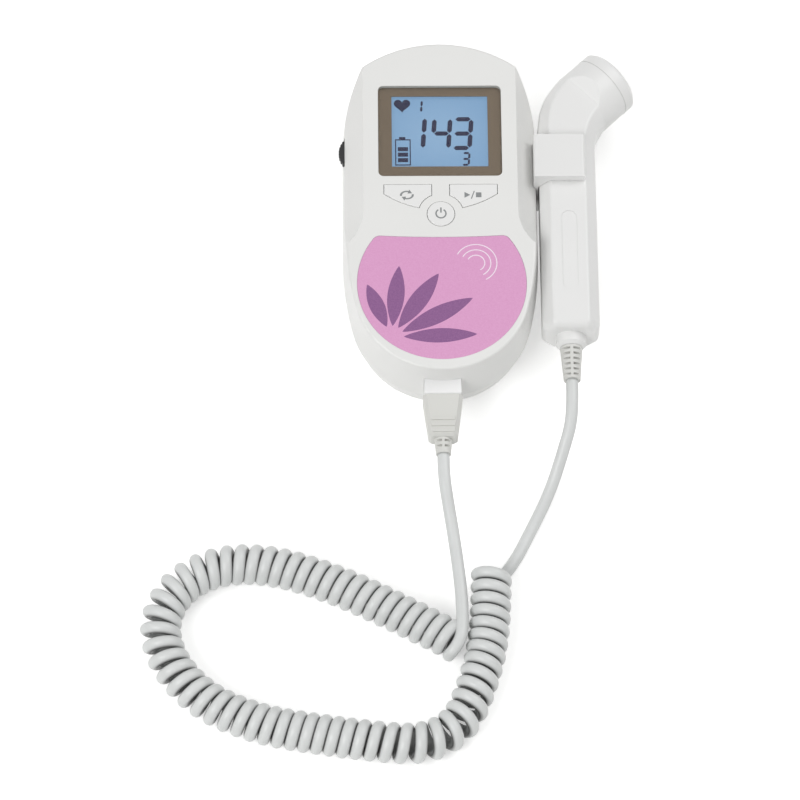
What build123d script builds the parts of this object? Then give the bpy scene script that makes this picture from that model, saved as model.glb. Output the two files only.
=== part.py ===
from build123d import *
import math
import os

# Pocket fetal doppler monitor, lying on its back. Millimetres.
# X is across the unit, with the probe on +X. Y runs from the plug end (-Y) to the
# rounded top end (+Y). Z is up through the display. The origin is the middle of the
# flat back, on the surface that the unit lies on.

# ---------------------------------------------------------------- case
unit_length = 137.4
unit_width = 71.8
unit_height = 34.0
case_wall = 2.4
parting_z = 13.5          # height of the seam between the two covers
wall_draft = 3.5          # degrees, front cover walls lean in towards the face
top_arch_radius = 48.0
shoulder_radius = 53.6    # side arcs above the straight sides
shoulder_from_top = 35.7  # straight sides end this far below the arch's top
foot_from_bottom = 54.7   # sides start to draw in this far above the plug end
foot_narrowing = 2.7      # half width less the radius of the bottom round
face_edge_round = 1.0
grip_face_half = 28.3     # half width of the flat face between the two grip facets
grip_angle = 35.0         # degrees, facet from the vertical
grip_end_from_bottom = 66.2  # where a facet starts to run out
grip_runout_radius = 19.0
grip_depth = 12.0
lip_gap = 0.1             # rear cover's lip inside the front cover's wall
lip_thickness = 0.9
lip_height = 1.5
seam_step = 0.3           # rear cover is this much smaller at the seam
belly_z = 5.0
belly_inset = 2.2
back_inset = 5.0
belly_round = 2.5
back_edge_round = 1.2

# ---------------------------------------------------------------- display
display_from_top = 38.2
window_width = 45.3
window_height = 37.8
window_corner = 1.9
window_thickness = 1.3
window_sink = 0.15
mask_thickness = 0.3
view_width = 35.4
view_height = 29.5
view_shift = 0.5          # lit field sits this much above the window's middle
glass_margin = 2.5
glass_thickness = 1.9
backlight_thickness = 2.5
stack_gap = 0.1
holder_wall = 1.4
holder_floor = 0.8
holder_leg_radius = 1.5

# ---------------------------------------------------------------- buttons
button_gap = 0.2
button_proud = 0.3
button_edge_round = 0.25
button_travel = 0.6
button_outer_x = 20.7
button_inner_x = 3.35
button_below_window = 3.75
button_row_radius = 35.6
button_row_rise = 37.3    # centre of the bowl-shaped lower edge, above the power button
power_below_buttons = 12.15
power_radius = 5.0
power_ring_radius = 8.4
flange_width = 0.9
flange_thickness = 1.3
plunger_radius = 1.5
plunger_below_top = 3.25
plunger_x = 12.0

# ---------------------------------------------------------------- label
label_radius = 30.75
label_from_bottom = 36.0
label_below_power = 9.6   # lowest point of the hollow top edge
label_top_rise = 18.8     # highest that this point can lie above the disc's centre
label_top_radius = 380.0
label_corner = 3.0
label_thickness = 0.25
label_recess = 0.4

# ---------------------------------------------------------------- circuit board
board_thickness = 1.6
board_clearance = 0.3     # above the battery bay
board_inset = 5.5
board_from_bottom = 14.7
switch_size = 6.0
switch_height = 2.9
chip_thickness = 1.2
# each chip: middle across, middle above the board's lower edge, width, depth
chip_places = [(0, 28, 12, 12), (16, 30, 6, 8), (-15, 29, 8, 6), (-8, 12, 5, 5), (10, 12, 9, 4)]

# ---------------------------------------------------------------- volume wheel
wheel_radius = 8.0
wheel_thickness = 2.2
wheel_from_top = 41.9
wheel_proud = 2.0
wheel_above_board = 1.6
wheel_teeth = 36
wheel_notch = 0.35
control_size = 7.0
running_gap = 0.3
shaft_radius = 1.5
shaft_clearance = 0.06

# ---------------------------------------------------------------- headphone jack
jack_x = -12.0
jack_bore_radius = 1.8
jack_depth = 13.0
jack_nose_radius = 2.7
jack_width = 7.0
jack_height = 6.0
jack_length = 12.0
jack_nose_length = 3.6
jack_sink = 0.4           # mouth sits this far inside the wall

# ---------------------------------------------------------------- screws
boss_radius = 2.9
screw_radius = 1.2
screw_head_radius = 2.2
screw_head_height = 1.8
screw_fit = 0.03
screw_free = 0.3
screw_sink = 1.0
upper_boss_inset = (13.9, 15.1)   # from the widest line and from the arch's top
lower_boss_inset = (11.5, 38.7)   # from the widest line and from the plug end

# ---------------------------------------------------------------- speaker
speaker_from_top = 38.7
speaker_radius = 14.0
speaker_depth = 3.8
magnet_radius = 8.0
magnet_height = 4.2
grille_slot = 1.8
grille_pitch = 3.4

# ---------------------------------------------------------------- batteries
cell_radius = 7.1
cell_length = 50.5
cell_gap = 0.6
cell_clearance = 0.3
bay_wall = 1.3
bay_top_from_bottom = 66.7
spring_length = 3.6
spring_wire = 0.35
spring_radius = 3.0
spring_turns = 2.5
spring_gap = 0.1
contact_thickness = 0.4
contact_size = 10.0
door_thickness = 2.05
door_lift = 0.15          # the door sits this much above the resting plane
door_gap = 0.25
door_overlap = 1.2        # the door reaches this far past the bay's inside
tongue_reach = 1.2
tongue_thickness = 0.9
tongue_drop = 0.3
tongue_length = 11.0
rail_width = 2.2
thumb_grooves = 5
thumb_pitch = 2.0

# ---------------------------------------------------------------- socket and plug
socket_width = 13.4
socket_height = 10.6
socket_above_seam = 1.5
socket_reach = 4.5        # stands this far out of the plug end
socket_length = 14.0
socket_flange = 1.5
socket_flange_depth = 4.7
socket_edge = 0.4
socket_wall = 1.5
socket_mouth_depth = 8.2
pin_radius = 0.45
pin_pitch = 2.25
pin_fit = 0.12
pin_length = 6.0
plug_fit = 0.25
plug_gap = 0.2
plug_nose_gap = 0.8
plug_width = 14.4
plug_height = 10.8
plug_end_width = 10.4
plug_end_height = 8.6
plug_length = 16.0
plug_edge = 1.3
plug_end_edge = 0.8
plug_rib_count = 3
plug_rib_pitch = 2.3
plug_rib_width = 1.1
plug_rib_rise = 0.45
plug_rib_start = 1.9
plug_boot_radius = 3.3
plug_boot_end_radius = 2.7
plug_boot_length = 5.8
plug_boot_rows = 2
sleeve_radius = 0.8

# ---------------------------------------------------------------- probe
probe_z = 20.2
handle_width = 20.9
handle_height = 19.6
handle_flat = 13.2
handle_bevel_drop = 4.6
handle_length = 90.5      # from the end wall to where the handle's and head's axes meet
handle_edge_round = 1.5
handle_end_round = 3.0
probe_wall = 2.0
neck_above_holder = 13.4
neck_turn = 46.0          # degrees that the head turns from the handle
neck_radius = 22.0
head_radius = 12.6
head_reach = 24.6         # from the axes' meeting point to the end face
neck_swell_start = 13.8   # the neck starts to swell this far before the axes meet
neck_round_share = 0.9    # rounding of the neck's sides at the head, of the head's radius
# neck's sections: shares of the turn, of the inner and outer side's swelling, of the rounding
neck_swell = [(0, 0.32, 0, 0.1), (1 / 3, 0.67, 0.32, 0.35), (2 / 3, 0.9, 0.68, 0.7), (1, 1, 1, 1)]
hollow_flare_start = 7.2  # hollow's radius where the axes meet
hollow_flare_length = 12.0
facet_ramp = 30.0         # degrees, slope from the flat face up to the round head
cap_length = 5.2
cap_edge_round = 1.4
pill_from_end = 30.9
pill_length = 32.4
pill_width = 5.7
pill_depth = 0.3
lens_rim = 2.1
lens_thickness = 1.6
crystal_radius = 8.0
crystal_thickness = 1.0
crystal_split = 0.8
backing_radius = 8.4
backing_thickness = 4.0
sleeve_length = 4.0       # cap's inner sleeve, behind the seam
sleeve_gap = 0.1
ring_groove = 1.0
ring_wire = 0.45
probe_board_width = 11.0
probe_board_from_end = 10.0
probe_board_drop = 2.7
probe_board_length = 56.0
probe_board_thickness = 1.2
collar_radius = 5.5
collar_length = 4.6
collar_edge = 1.2
boot_radius = 4.1
boot_end_radius = 3.1
boot_length = 12.9
boot_neck_radius = 3.6
boot_flange = 1.2
boot_slot_rows = 6
boot_slot_first = 1.3
boot_slot_pitch = 2.04
boot_slot_width = 0.9

# ---------------------------------------------------------------- probe holder
holder_from_top = 57.3
holder_length = 17.7
holder_sink = 1.5         # flat back lies this far inside the case's widest line
holder_web = 1.85
holder_arm = 3.4
holder_fit = 0.3
holder_reach = 6.2        # arm past the handle's axis
holder_pocket_gap = 0.12
holder_corner = 0.9
holder_screw_radius = 0.9
holder_head_radius = 1.7
holder_head_height = 1.2
holder_screw_spacing = 9.0
holder_screw_drop = 1.4

# ---------------------------------------------------------------- cord
cord_diameter = 4.4
coil_diameter = 14.8
lead_exit = 7.8           # first run of each lead, straight out of its boot
# each lead's next points: across and along from the boot's end, then the height
lead_plug_points = [
    (1.3, -16.7, 17.8), (2.6, -24.3, 15.3), (3.8, -32.0, 13.3), (4.9, -40.5, 12.0),
    (5.8, -49.3, 11.6), (6.2, -57.3, 11.9), (6.1, -64.1, 12.5), (5.2, -69.5, 12.6), (3.0, -72.0, 11.2),
]
lead_probe_points = [
    (-0.7, -16.6, 17.9), (-3.4, -24.6, 13.4), (-6.1, -32.0, 8.6), (-9.1, -39.2, 4.9),
    (-12.7, -46.3, 2.9), (-16.1, -53.0, 2.3), (-19.1, -59.3, 2.3), (-22.4, -65.1, 2.3),
    (-25.2, -68.9, 2.3), (-27.8, -70.7, 2.3),
]
coil_route = [
    (4.3, -163.0, 7.5), (-18.0, -150.6, 7.5), (-42.1, -138.8, 7.5), (-64.5, -131.9, 7.5),
    (-83.3, -133.0, 7.5), (-97.2, -142.2, 7.5), (-102.6, -157.0, 7.5), (-97.8, -172.2, 7.5),
    (-85.6, -185.6, 7.5), (-66.4, -194.2, 7.5), (-46.8, -197.8, 7.5), (-27.6, -200.6, 7.5),
    (-8.6, -202.4, 7.5), (4.6, -195.6, 7.5), (10.6, -181.4, 7.5), (14.9, -166.2, 7.5),
    (16.5, -150.6, 7.5), (16.9, -135.4, 7.5),
]

# ---------------------------------------------------------------- worked-out sizes
half_length = unit_length / 2
half_width = unit_width / 2
inner_top_z = unit_height - case_wall
shoulder_start = half_length - shoulder_from_top
foot_start = foot_from_bottom - half_length
grip_end_y = grip_end_from_bottom - half_length
foot_radius = half_width - foot_narrowing
foot_centre_y = foot_radius - half_length
foot_dy = foot_start - foot_centre_y
flank_radius = (half_width**2 + foot_dy**2 - foot_radius**2) / (2 * foot_narrowing)

display_y = half_length - display_from_top
view_y = display_y + view_shift
window_top_z = unit_height - window_sink
window_low_z = window_top_z - window_thickness
mask_low_z = window_low_z - mask_thickness
glass_width = view_width + 2 * glass_margin
glass_height = view_height + 2 * glass_margin
glass_top_z = inner_top_z - 2 * stack_gap
glass_low_z = glass_top_z - glass_thickness
backlight_top_z = glass_low_z - stack_gap
backlight_low_z = backlight_top_z - backlight_thickness

button_top_y = display_y - window_height / 2 - button_below_window
power_y = button_top_y - power_below_buttons
button_row_centre_y = power_y + button_row_rise
plunger_y = button_top_y - plunger_below_top
label_centre_y = label_from_bottom - half_length
label_top_y = min(power_y - label_below_power, label_centre_y + label_top_rise)
label_low_z = unit_height - label_recess

bay_top_y = bay_top_from_bottom - half_length
bay_width = 4 * cell_radius + cell_gap + 2 * cell_clearance
bay_length = cell_length + spring_length + 2 * contact_thickness
bay_low_y = bay_top_y - bay_length
door_top_z = door_lift + door_thickness
door_half = bay_width / 2 + door_overlap
cell_z = door_top_z + cell_clearance + cell_radius
bay_ceiling_z = cell_z + cell_radius + cell_clearance

board_low_z = bay_ceiling_z + bay_wall + board_clearance
board_top_z = board_low_z + board_thickness
board_end_y = board_from_bottom - half_length
flange_top_z = inner_top_z - running_gap
flange_low_z = flange_top_z - flange_thickness
switch_top_z = board_top_z + switch_height
plunger_low_z = switch_top_z + button_travel + stack_gap
speaker_y = half_length - speaker_from_top
jack_z = board_top_z + jack_height / 2
wheel_y = half_length - wheel_from_top
wheel_low_z = board_top_z + wheel_above_board
wheel_high_z = wheel_low_z + wheel_thickness

socket_z = parting_z + socket_above_seam + socket_height / 2
socket_front_y = -half_length - socket_reach
socket_flange_y = socket_flange_depth - half_length
socket_mouth_width = socket_width - 2 * socket_wall
socket_mouth_height = socket_height - 2 * socket_wall
plug_start_y = socket_front_y - plug_gap
plug_end_y = plug_start_y - plug_length
plug_boot_end = (0, plug_end_y - plug_boot_length, socket_z)

holder_low_y = half_length - holder_from_top
holder_high_y = holder_low_y + holder_length
holder_web_x = half_width - holder_sink
holder_inner_x = holder_web_x + holder_web
holder_screw_z = probe_z - holder_screw_drop
handle_half = handle_height / 2
holder_low_z = probe_z - handle_half - holder_fit - holder_arm
holder_top_z = probe_z + handle_half + holder_fit + holder_arm
probe_x = holder_inner_x + holder_fit + handle_width / 2
neck_y = holder_high_y + neck_above_holder
handle_end_y = neck_y - handle_length
neck_tangent = neck_radius * math.tan(math.radians(neck_turn / 2))
bend_y = neck_y - neck_tangent
facet_end = head_reach - neck_tangent
head_direction = Vector(math.sin(math.radians(neck_turn)), math.cos(math.radians(neck_turn)), 0)
neck_point = Vector(probe_x, neck_y, probe_z)
pill_y = handle_end_y + pill_from_end
probe_board_y = handle_end_y + probe_board_from_end
probe_board_z = probe_z - probe_board_drop
probe_boot_y = handle_end_y - collar_length - stack_gap
probe_boot_end = (probe_x, probe_boot_y - boot_length, probe_z)
lens_radius = head_radius - lens_rim


# ---------------------------------------------------------------- small helpers
def box_between(low, high):
    """Box from its lowest corner to its highest corner."""
    size = [b - a for a, b in zip(low, high)]
    middle = [(a + b) / 2 for a, b in zip(low, high)]
    return Pos(*middle) * Box(*size)


def rod(radius, start, end):
    """Cylinder of the radius from one point to another."""
    start = Vector(*start)
    axis = Vector(*end) - start
    return extrude(Plane(origin=start, z_dir=axis) * Circle(radius), axis.length)


def turned(profile, start, end):
    """Solid turned about the line from start to end: profile pairs are (radius, distance)."""
    start = Vector(*start)
    axis = Vector(*end) - start
    shape = revolve(Plane.XZ * make_face(Polyline(*profile, close=True)), Axis.Z)
    return Plane(origin=start, z_dir=axis) * shape


def both_sides(shape):
    """The shape and its mirror image across the unit's middle plane."""
    return [shape, mirror(shape, Plane.YZ)]


def joined(shapes):
    """All the shapes of a list in one compound of separate solids."""
    return Compound(children=[solid for shape in shapes for solid in shape.solids()])


def arc_about(centre, start, end):
    """Arc about a centre, the shorter way from start to end."""
    c = Vector(*centre)
    a = Vector(*start) - c
    b = Vector(*end) - c
    middle = c + (a + b).normalized() * a.length
    return ThreePointArc(start, (middle.X, middle.Y), end).edge()


def straight(start, end):
    """Straight edge between two plan points."""
    return Line(start, end).edge()


def slab(sketch, low_z, high_z):
    """Plan shape raised between two heights."""
    return extrude(Pos(0, 0, low_z) * sketch, high_z - low_z)


def cord_tube(route, diameter, name):
    """Tube along straight runs joined by arcs as large as the runs allow."""
    points = [Vector(*p) for p in route]
    runs = [b - a for a, b in zip(points, points[1:])]
    radii = []
    for before, after in zip(runs, runs[1:]):
        half_turn = math.radians(before.get_angle(after)) / 2
        radii.append(0.45 * min(before.length, after.length) / math.tan(half_turn))
    path = FilletPolyline(*points, radius=radii)
    tube = sweep(Plane(origin=points[0], z_dir=runs[0]) * Circle(diameter / 2), path=path)
    expected = math.pi * diameter**2 / 4 * path.length
    print(f"{name}: length {path.length:.1f} mm, radii", [round(r, 1) for r in radii])
    print(f"{name}: volume {tube.volume:.0f}, section times length {expected:.0f} mm3")
    return tube


def lead_route(boot_end, points):
    """Route of a lead: straight out along -Y from its boot, then through its own points."""
    x, y, z = boot_end
    route = [boot_end, (x, y - lead_exit, z)]
    return route + [(x + across, y + along, high) for across, along, high in points]


# ---------------------------------------------------------------- case outlines
def crossing_of_arcs(centre_a, radius_a, centre_b, radius_b):
    """Crossing of two circles that lies on the +X, +Y side."""
    a = Vector(*centre_a)
    between = Vector(*centre_b) - a
    along = (radius_a**2 - radius_b**2 + between.length**2) / (2 * between.length)
    across = math.sqrt(radius_a**2 - along**2)
    unit = between.normalized()
    foot = a + unit * along
    side = Vector(-unit.Y, unit.X)
    return max((foot + side * across, foot - side * across), key=lambda p: p.X + p.Y)


def unit_outline(inset):
    """Plan of the case at the seam, drawn in by an inset: arcs and two straight sides."""
    w = half_width - inset
    shoulder_centre = (half_width - shoulder_radius, shoulder_start)
    arch_centre = (0, half_length - top_arch_radius)
    corner = crossing_of_arcs(
        shoulder_centre, shoulder_radius - inset, arch_centre, top_arch_radius - inset
    )
    flank_centre = Vector(half_width - flank_radius, foot_start)
    foot_centre = Vector(0, foot_centre_y)
    join = foot_centre + (foot_centre - flank_centre).normalized() * (foot_radius - inset)
    right = [
        arc_about(shoulder_centre, (corner.X, corner.Y), (w, shoulder_start)),
        straight((w, shoulder_start), (w, foot_start)),
        arc_about((flank_centre.X, flank_centre.Y), (w, foot_start), (join.X, join.Y)),
    ]
    left = [mirror(edge, Plane.YZ) for edge in right]
    top = ThreePointArc((-corner.X, corner.Y), (0, half_length - inset), (corner.X, corner.Y))
    foot = ThreePointArc((-join.X, join.Y), (0, -half_length + inset), (join.X, join.Y))
    return make_face([top.edge(), *right, foot.edge(), *left])


def wall_lean(z):
    """How far the leaning front wall has come in at a height."""
    return (z - parting_z) * math.tan(math.radians(wall_draft))


def side_x(z, inset):
    """X of the straight side at a height, on the wall or on the grip facet, or inside it."""
    facet = grip_face_half + (unit_height - z) * math.tan(math.radians(grip_angle))
    return min(half_width - wall_lean(z) - inset, facet - inset / math.cos(math.radians(grip_angle)))


def wheel_x():
    """X of the volume wheel's axis: its rim stands out of the case's left side."""
    return -(side_x((wheel_low_z + wheel_high_z) / 2, 0) + wheel_proud - wheel_radius)


def grip_cutter(inset):
    """Takes one grip facet off the +X side; its lower end runs out in a cone."""
    slope = math.tan(math.radians(grip_angle))
    lean = inset / math.cos(math.radians(grip_angle))
    centre = (grip_face_half + grip_runout_radius, grip_end_y)
    far_y = half_length + 10

    def profile(depth):
        shift = depth * slope - lean
        x = grip_face_half + shift
        low = (centre[0], grip_end_y - (grip_runout_radius - shift))
        edges = [
            straight((x, far_y), (x, grip_end_y)),
            arc_about(centre, (x, grip_end_y), low),
            straight(low, (centre[0], far_y)),
            straight((centre[0], far_y), (x, far_y)),
        ]
        return Pos(0, 0, unit_height - depth) * make_face(edges)

    return loft([profile(-1), profile(grip_depth)], ruled=True)


def front_form(inset, low_z):
    """Outside of the front cover, or its hollow when drawn in by the wall."""
    high_z = unit_height - inset
    low = Pos(0, 0, low_z) * unit_outline(inset + wall_lean(low_z))
    high = Pos(0, 0, high_z) * unit_outline(inset + wall_lean(high_z))
    form = loft([low, high], ruled=True)
    if not inset:
        form = fillet(form.faces().sort_by(Axis.Z)[-1].edges(), face_edge_round)
    for cutter in both_sides(grip_cutter(inset)):
        form -= cutter
    return form


def rear_form(inset, low_z):
    """Outside of the rear cover, or its hollow when drawn in by the wall."""
    seam = Pos(0, 0, parting_z) * unit_outline(seam_step + inset)
    belly = Pos(0, 0, belly_z) * unit_outline(belly_inset + inset)
    back = Pos(0, 0, low_z) * unit_outline(back_inset + inset)
    return loft([seam, belly], ruled=True) + loft([belly, back], ruled=True)


# ---------------------------------------------------------------- face shapes
def bar_button_shape(grow):
    """Plan of the right-hand button: a bar cut round the power button, grown by a margin."""
    width = button_outer_x - button_inner_x + 2 * grow
    depth = 2 * button_row_centre_y
    middle_x = (button_outer_x + button_inner_x) / 2
    bar = Pos(middle_x, button_top_y + grow - depth / 2) * Rectangle(width, depth)
    bowl = Pos(0, button_row_centre_y) * Circle(button_row_radius + grow)
    ring = Pos(0, power_y) * Circle(power_ring_radius - grow)
    return (bar & bowl) - ring


def power_button_shape(grow):
    """Plan of the round power button, grown by a margin."""
    return Pos(0, power_y) * Circle(power_radius + grow)


def button_shapes(grow):
    """Plans of the left, right and power buttons."""
    right = bar_button_shape(grow)
    return [mirror(right, Plane.YZ), right, power_button_shape(grow)]


def label_shape(grow):
    """Plan of the label: a disc with a hollow top edge and two rounded corners."""
    disc = Pos(0, label_centre_y) * Circle(label_radius + grow)
    above = Pos(0, label_top_y + grow + label_top_radius) * Circle(label_top_radius)
    shape = disc - above
    return fillet(shape.vertices(), label_corner + grow)


def window_shape(grow):
    """Plan of the display window, grown by a margin."""
    width = window_width + 2 * grow
    return Pos(0, display_y) * RectangleRounded(width, window_height + 2 * grow, window_corner + grow)


def boss_places():
    """Plan places of the four case screws."""
    upper = (half_width - upper_boss_inset[0], half_length - upper_boss_inset[1])
    lower = (half_width - lower_boss_inset[0], lower_boss_inset[1] - half_length)
    return [(side * x, y) for x, y in (upper, lower) for side in (-1, 1)]


def plunger_places():
    """Plan places of the left, right and power key switches."""
    return [(-plunger_x, plunger_y), (plunger_x, plunger_y), (0, power_y)]


def holder_screw_places():
    """Places of the two holder screws along Y."""
    middle = holder_low_y + holder_length / 2
    return [middle - holder_screw_spacing / 2, middle + holder_screw_spacing / 2]


def holder_pocket():
    """Room in both covers for the flat back of the probe holder."""
    gap = holder_pocket_gap
    low = (holder_web_x - gap, holder_low_y - gap, 0)
    return box_between(low, (half_width + 5, holder_high_y + gap, unit_height + 5))


# ---------------------------------------------------------------- front cover
def jack_nose_y():
    """Y of the headphone jack's mouth, just inside the arched top wall."""
    arch = top_arch_radius - wall_lean(jack_z)
    return half_length - top_arch_radius + math.sqrt(arch**2 - jack_x**2) - jack_sink


def socket_box(grow):
    """Outside of the probe socket's housing."""
    x = socket_width / 2 + grow
    dz = socket_height / 2 + grow
    back_y = socket_front_y + socket_length + grow
    return box_between((-x, socket_front_y, socket_z - dz), (x, back_y, socket_z + dz))


def make_front_cover():
    """Moulded front shell with its windows, holes, recesses and screw bosses."""
    cover = front_form(0, parting_z) - front_form(case_wall, parting_z - 1)
    for x, y in boss_places():
        cover += rod(boss_radius, (x, y, board_top_z), (x, y, inner_top_z + 0.5))
        cover -= rod(screw_radius + screw_fit, (x, y, board_top_z), (x, y, inner_top_z - 2))
    cover -= slab(window_shape(stack_gap), mask_low_z, unit_height + 1)
    opening = Pos(0, view_y) * Rectangle(view_width + 1, view_height + 1)
    cover -= slab(opening, inner_top_z - 1, unit_height)
    for shape in button_shapes(button_gap):
        cover -= slab(shape, inner_top_z - 1, unit_height + 1)
    cover -= slab(label_shape(stack_gap), label_low_z, unit_height + 1)
    slot_low = (wheel_x(), wheel_y, wheel_low_z - running_gap)
    slot_high = (wheel_x(), wheel_y, wheel_high_z + running_gap)
    cover -= rod(wheel_radius + running_gap, slot_low, slot_high)
    mouth = jack_nose_y()
    hole = jack_nose_radius + stack_gap
    cover -= rod(hole, (jack_x, mouth - jack_length, jack_z), (jack_x, mouth + 5, jack_z))
    cover -= socket_box(stack_gap)
    cover -= holder_pocket()
    for y in holder_screw_places():
        start = (holder_web_x - 5, y, holder_screw_z)
        cover -= rod(holder_screw_radius + stack_gap, start, (holder_web_x + 1, y, holder_screw_z))
    return cover


# ---------------------------------------------------------------- rear cover and door
def bay_box(grow, low_z):
    """Block that holds the two cells, grown by its wall."""
    low = (-bay_width / 2 - grow, bay_low_y - grow, low_z)
    return box_between(low, (bay_width / 2 + grow, bay_top_y + grow, bay_ceiling_z + grow))


def door_space(grow):
    """Flat space of the battery door, open at the plug end."""
    low = (-door_half - grow, -half_length - 5, -1)
    return box_between(low, (door_half + grow, bay_top_y + door_overlap + grow, door_top_z + grow))


def tongue_space(grow, low_y, high_y):
    """Wide flat bar whose two ends are the door's side tongues or their grooves."""
    reach = door_half + tongue_reach + grow
    high_z = door_top_z - tongue_drop
    return box_between((-reach, low_y, high_z - tongue_thickness - grow), (reach, high_y, high_z + grow))


def grille_slots():
    """Slots under the speaker, as long as its round frame allows."""
    count = int((speaker_radius - 2) // grille_pitch)
    slots = []
    for i in range(-count, count + 1):
        x = i * grille_pitch
        length = 2 * math.sqrt((speaker_radius - 2) ** 2 - x**2)
        plan = Pos(x, speaker_y) * Rot(0, 0, 90) * SlotOverall(length, grille_slot)
        slots.append(slab(plan, -1, case_wall + 1))
    return slots


def make_rear_cover():
    """Moulded rear shell with the battery bay, door rails, speaker grille and bosses."""
    outside = rear_form(0, 0)
    outside = fillet([e for e in outside.edges() if abs(e.center().Z - belly_z) < 0.01], belly_round)
    outside = fillet([e for e in outside.edges() if abs(e.center().Z) < 0.01], back_edge_round)
    cover = outside - rear_form(case_wall, case_wall)
    lip = unit_outline(case_wall + lip_gap) - unit_outline(case_wall + lip_gap + lip_thickness)
    cover += slab(lip, parting_z - 2 * lip_height, parting_z + lip_height)
    rail_half = door_half + tongue_reach + rail_width
    rail_top = (rail_half, bay_top_y + door_overlap + rail_width, door_top_z + rail_width)
    rails = box_between((-rail_half, -half_length, 0), rail_top)
    cover += rails & outside
    cover += bay_box(bay_wall, case_wall)
    for x, y in boss_places():
        cover += rod(boss_radius, (x, y, 0), (x, y, parting_z)) & outside
        cover += rod(boss_radius, (x, y, parting_z - 1), (x, y, board_low_z))
    ring = rod(speaker_radius + 1.6, (0, speaker_y, 1), (0, speaker_y, case_wall + 2.6))
    cover += ring
    cover -= rod(speaker_radius + stack_gap, (0, speaker_y, case_wall), (0, speaker_y, case_wall + 9))
    for slot in grille_slots():
        cover -= slot
    for x, y in boss_places():
        cover -= rod(screw_radius + screw_free, (x, y, -1), (x, y, board_low_z + 1))
        cover -= rod(screw_head_radius + screw_free, (x, y, -1), (x, y, screw_sink + screw_head_height))
    cover -= bay_box(0, 0)
    cover -= door_space(door_gap)
    cover -= tongue_space(door_gap, -half_length - 5, bay_top_y + door_overlap)
    cover -= holder_pocket()
    room = socket_width / 2 + socket_flange + running_gap
    room_top = (room, socket_front_y + socket_length, parting_z + 2 * lip_height)
    return cover - box_between((-room, socket_front_y, parting_z), room_top)


def make_battery_door():
    """Sliding door of the battery bay, with side tongues and thumb grooves."""
    top = (door_half, bay_top_y + door_overlap, door_top_z)
    plate = box_between((-door_half, -half_length - 1, door_lift), top)
    door = plate & rear_form(0, 0)
    for high_y in (bay_top_y - 3, bay_top_y - 3 - 2.4 * tongue_length):
        door += tongue_space(0, high_y - tongue_length, high_y)
    for i in range(thumb_grooves):
        y = bay_top_y - 8 - i * thumb_pitch
        door -= box_between((-8, y - 0.5, 0), (8, y + 0.5, door_lift + 0.5))
    return door


# ---------------------------------------------------------------- display
def make_lcd_holder():
    """Frame round the glass and backlight, on four legs that stand on the board."""
    room_x = glass_width + 2 * stack_gap
    room_y = glass_height + 2 * stack_gap
    low_z = backlight_low_z - holder_floor

    def plate(width, height, low, high):
        return slab(Pos(0, view_y) * Rectangle(width, height), low, high)

    holder = plate(room_x + 2 * holder_wall, room_y + 2 * holder_wall, low_z, glass_top_z)
    holder -= plate(room_x, room_y, backlight_low_z, glass_top_z + 1)
    holder -= plate(room_x - 4, room_y - 4, low_z - 1, glass_top_z)
    for across in (-1, 1):
        for along in (-1, 1):
            x = across * room_x / 2
            y = view_y + along * room_y / 2
            holder += rod(holder_leg_radius, (x, y, board_top_z), (x, y, backlight_low_z - 0.2))
    return holder


def make_display():
    """Clear window, its printed border, the display glass, backlight and holder."""
    field = Pos(0, view_y) * Rectangle(view_width, view_height)
    glass_plan = Pos(0, view_y) * Rectangle(glass_width, glass_height)
    return {
        "display_window": slab(window_shape(0), window_low_z, window_top_z),
        "display_mask": slab(window_shape(0) - field, mask_low_z, window_low_z),
        "lcd_glass": slab(glass_plan, glass_low_z, glass_top_z),
        "lcd_backlight": slab(glass_plan, backlight_low_z, backlight_top_z),
        "lcd_holder": make_lcd_holder(),
    }


# ---------------------------------------------------------------- buttons
def make_button(cap_plan, flange_plan, place):
    """Button cap with a flange under the face and a plunger over its switch."""
    cap = slab(cap_plan, flange_low_z, unit_height + button_proud)
    cap = fillet(cap.faces().sort_by(Axis.Z)[-1].edges(), button_edge_round)
    cap += slab(flange_plan, flange_low_z, flange_top_z)
    x, y = place
    return cap + rod(plunger_radius, (x, y, plunger_low_z), (x, y, flange_low_z + 0.5))


def make_buttons():
    """The two bar buttons and the round power button."""
    names = ["button_mode", "button_start_stop", "button_power"]
    parts = zip(names, button_shapes(0), button_shapes(flange_width), plunger_places())
    return {name: make_button(cap, flange, place) for name, cap, flange, place in parts}


# ---------------------------------------------------------------- electronics
def make_board():
    """Main circuit board, clamped between the bosses of the two covers."""
    keep = Pos(0, half_length + board_end_y) * Rectangle(4 * half_width, 2 * half_length)
    board = slab(unit_outline(board_inset) & keep, board_low_z, board_top_z)
    for x, y in boss_places():
        board -= rod(screw_radius + screw_free, (x, y, board_low_z - 1), (x, y, board_top_z + 1))
    return board


def on_board(x, y, width, depth, height):
    """Block standing on the board."""
    return slab(Pos(x, y) * Rectangle(width, depth), board_top_z, board_top_z + height)


def make_key_switches():
    """Three tact switches with round actuators."""
    body_height = switch_height - 0.6
    switches = []
    for x, y in plunger_places():
        body = on_board(x, y, switch_size, switch_size, body_height)
        switches.append(body + rod(plunger_radius, (x, y, board_top_z + 1), (x, y, switch_top_z)))
    return joined(switches)


def make_volume_control():
    """Body of the volume control under the thumbwheel, with a hole for its spindle."""
    x = wheel_x()
    top_z = wheel_low_z - running_gap
    body = on_board(x, wheel_y, control_size, control_size, top_z - board_top_z)
    hole = shaft_radius + shaft_clearance
    return body - rod(hole, (x, wheel_y, board_top_z + 0.3), (x, wheel_y, top_z + 1))


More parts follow.
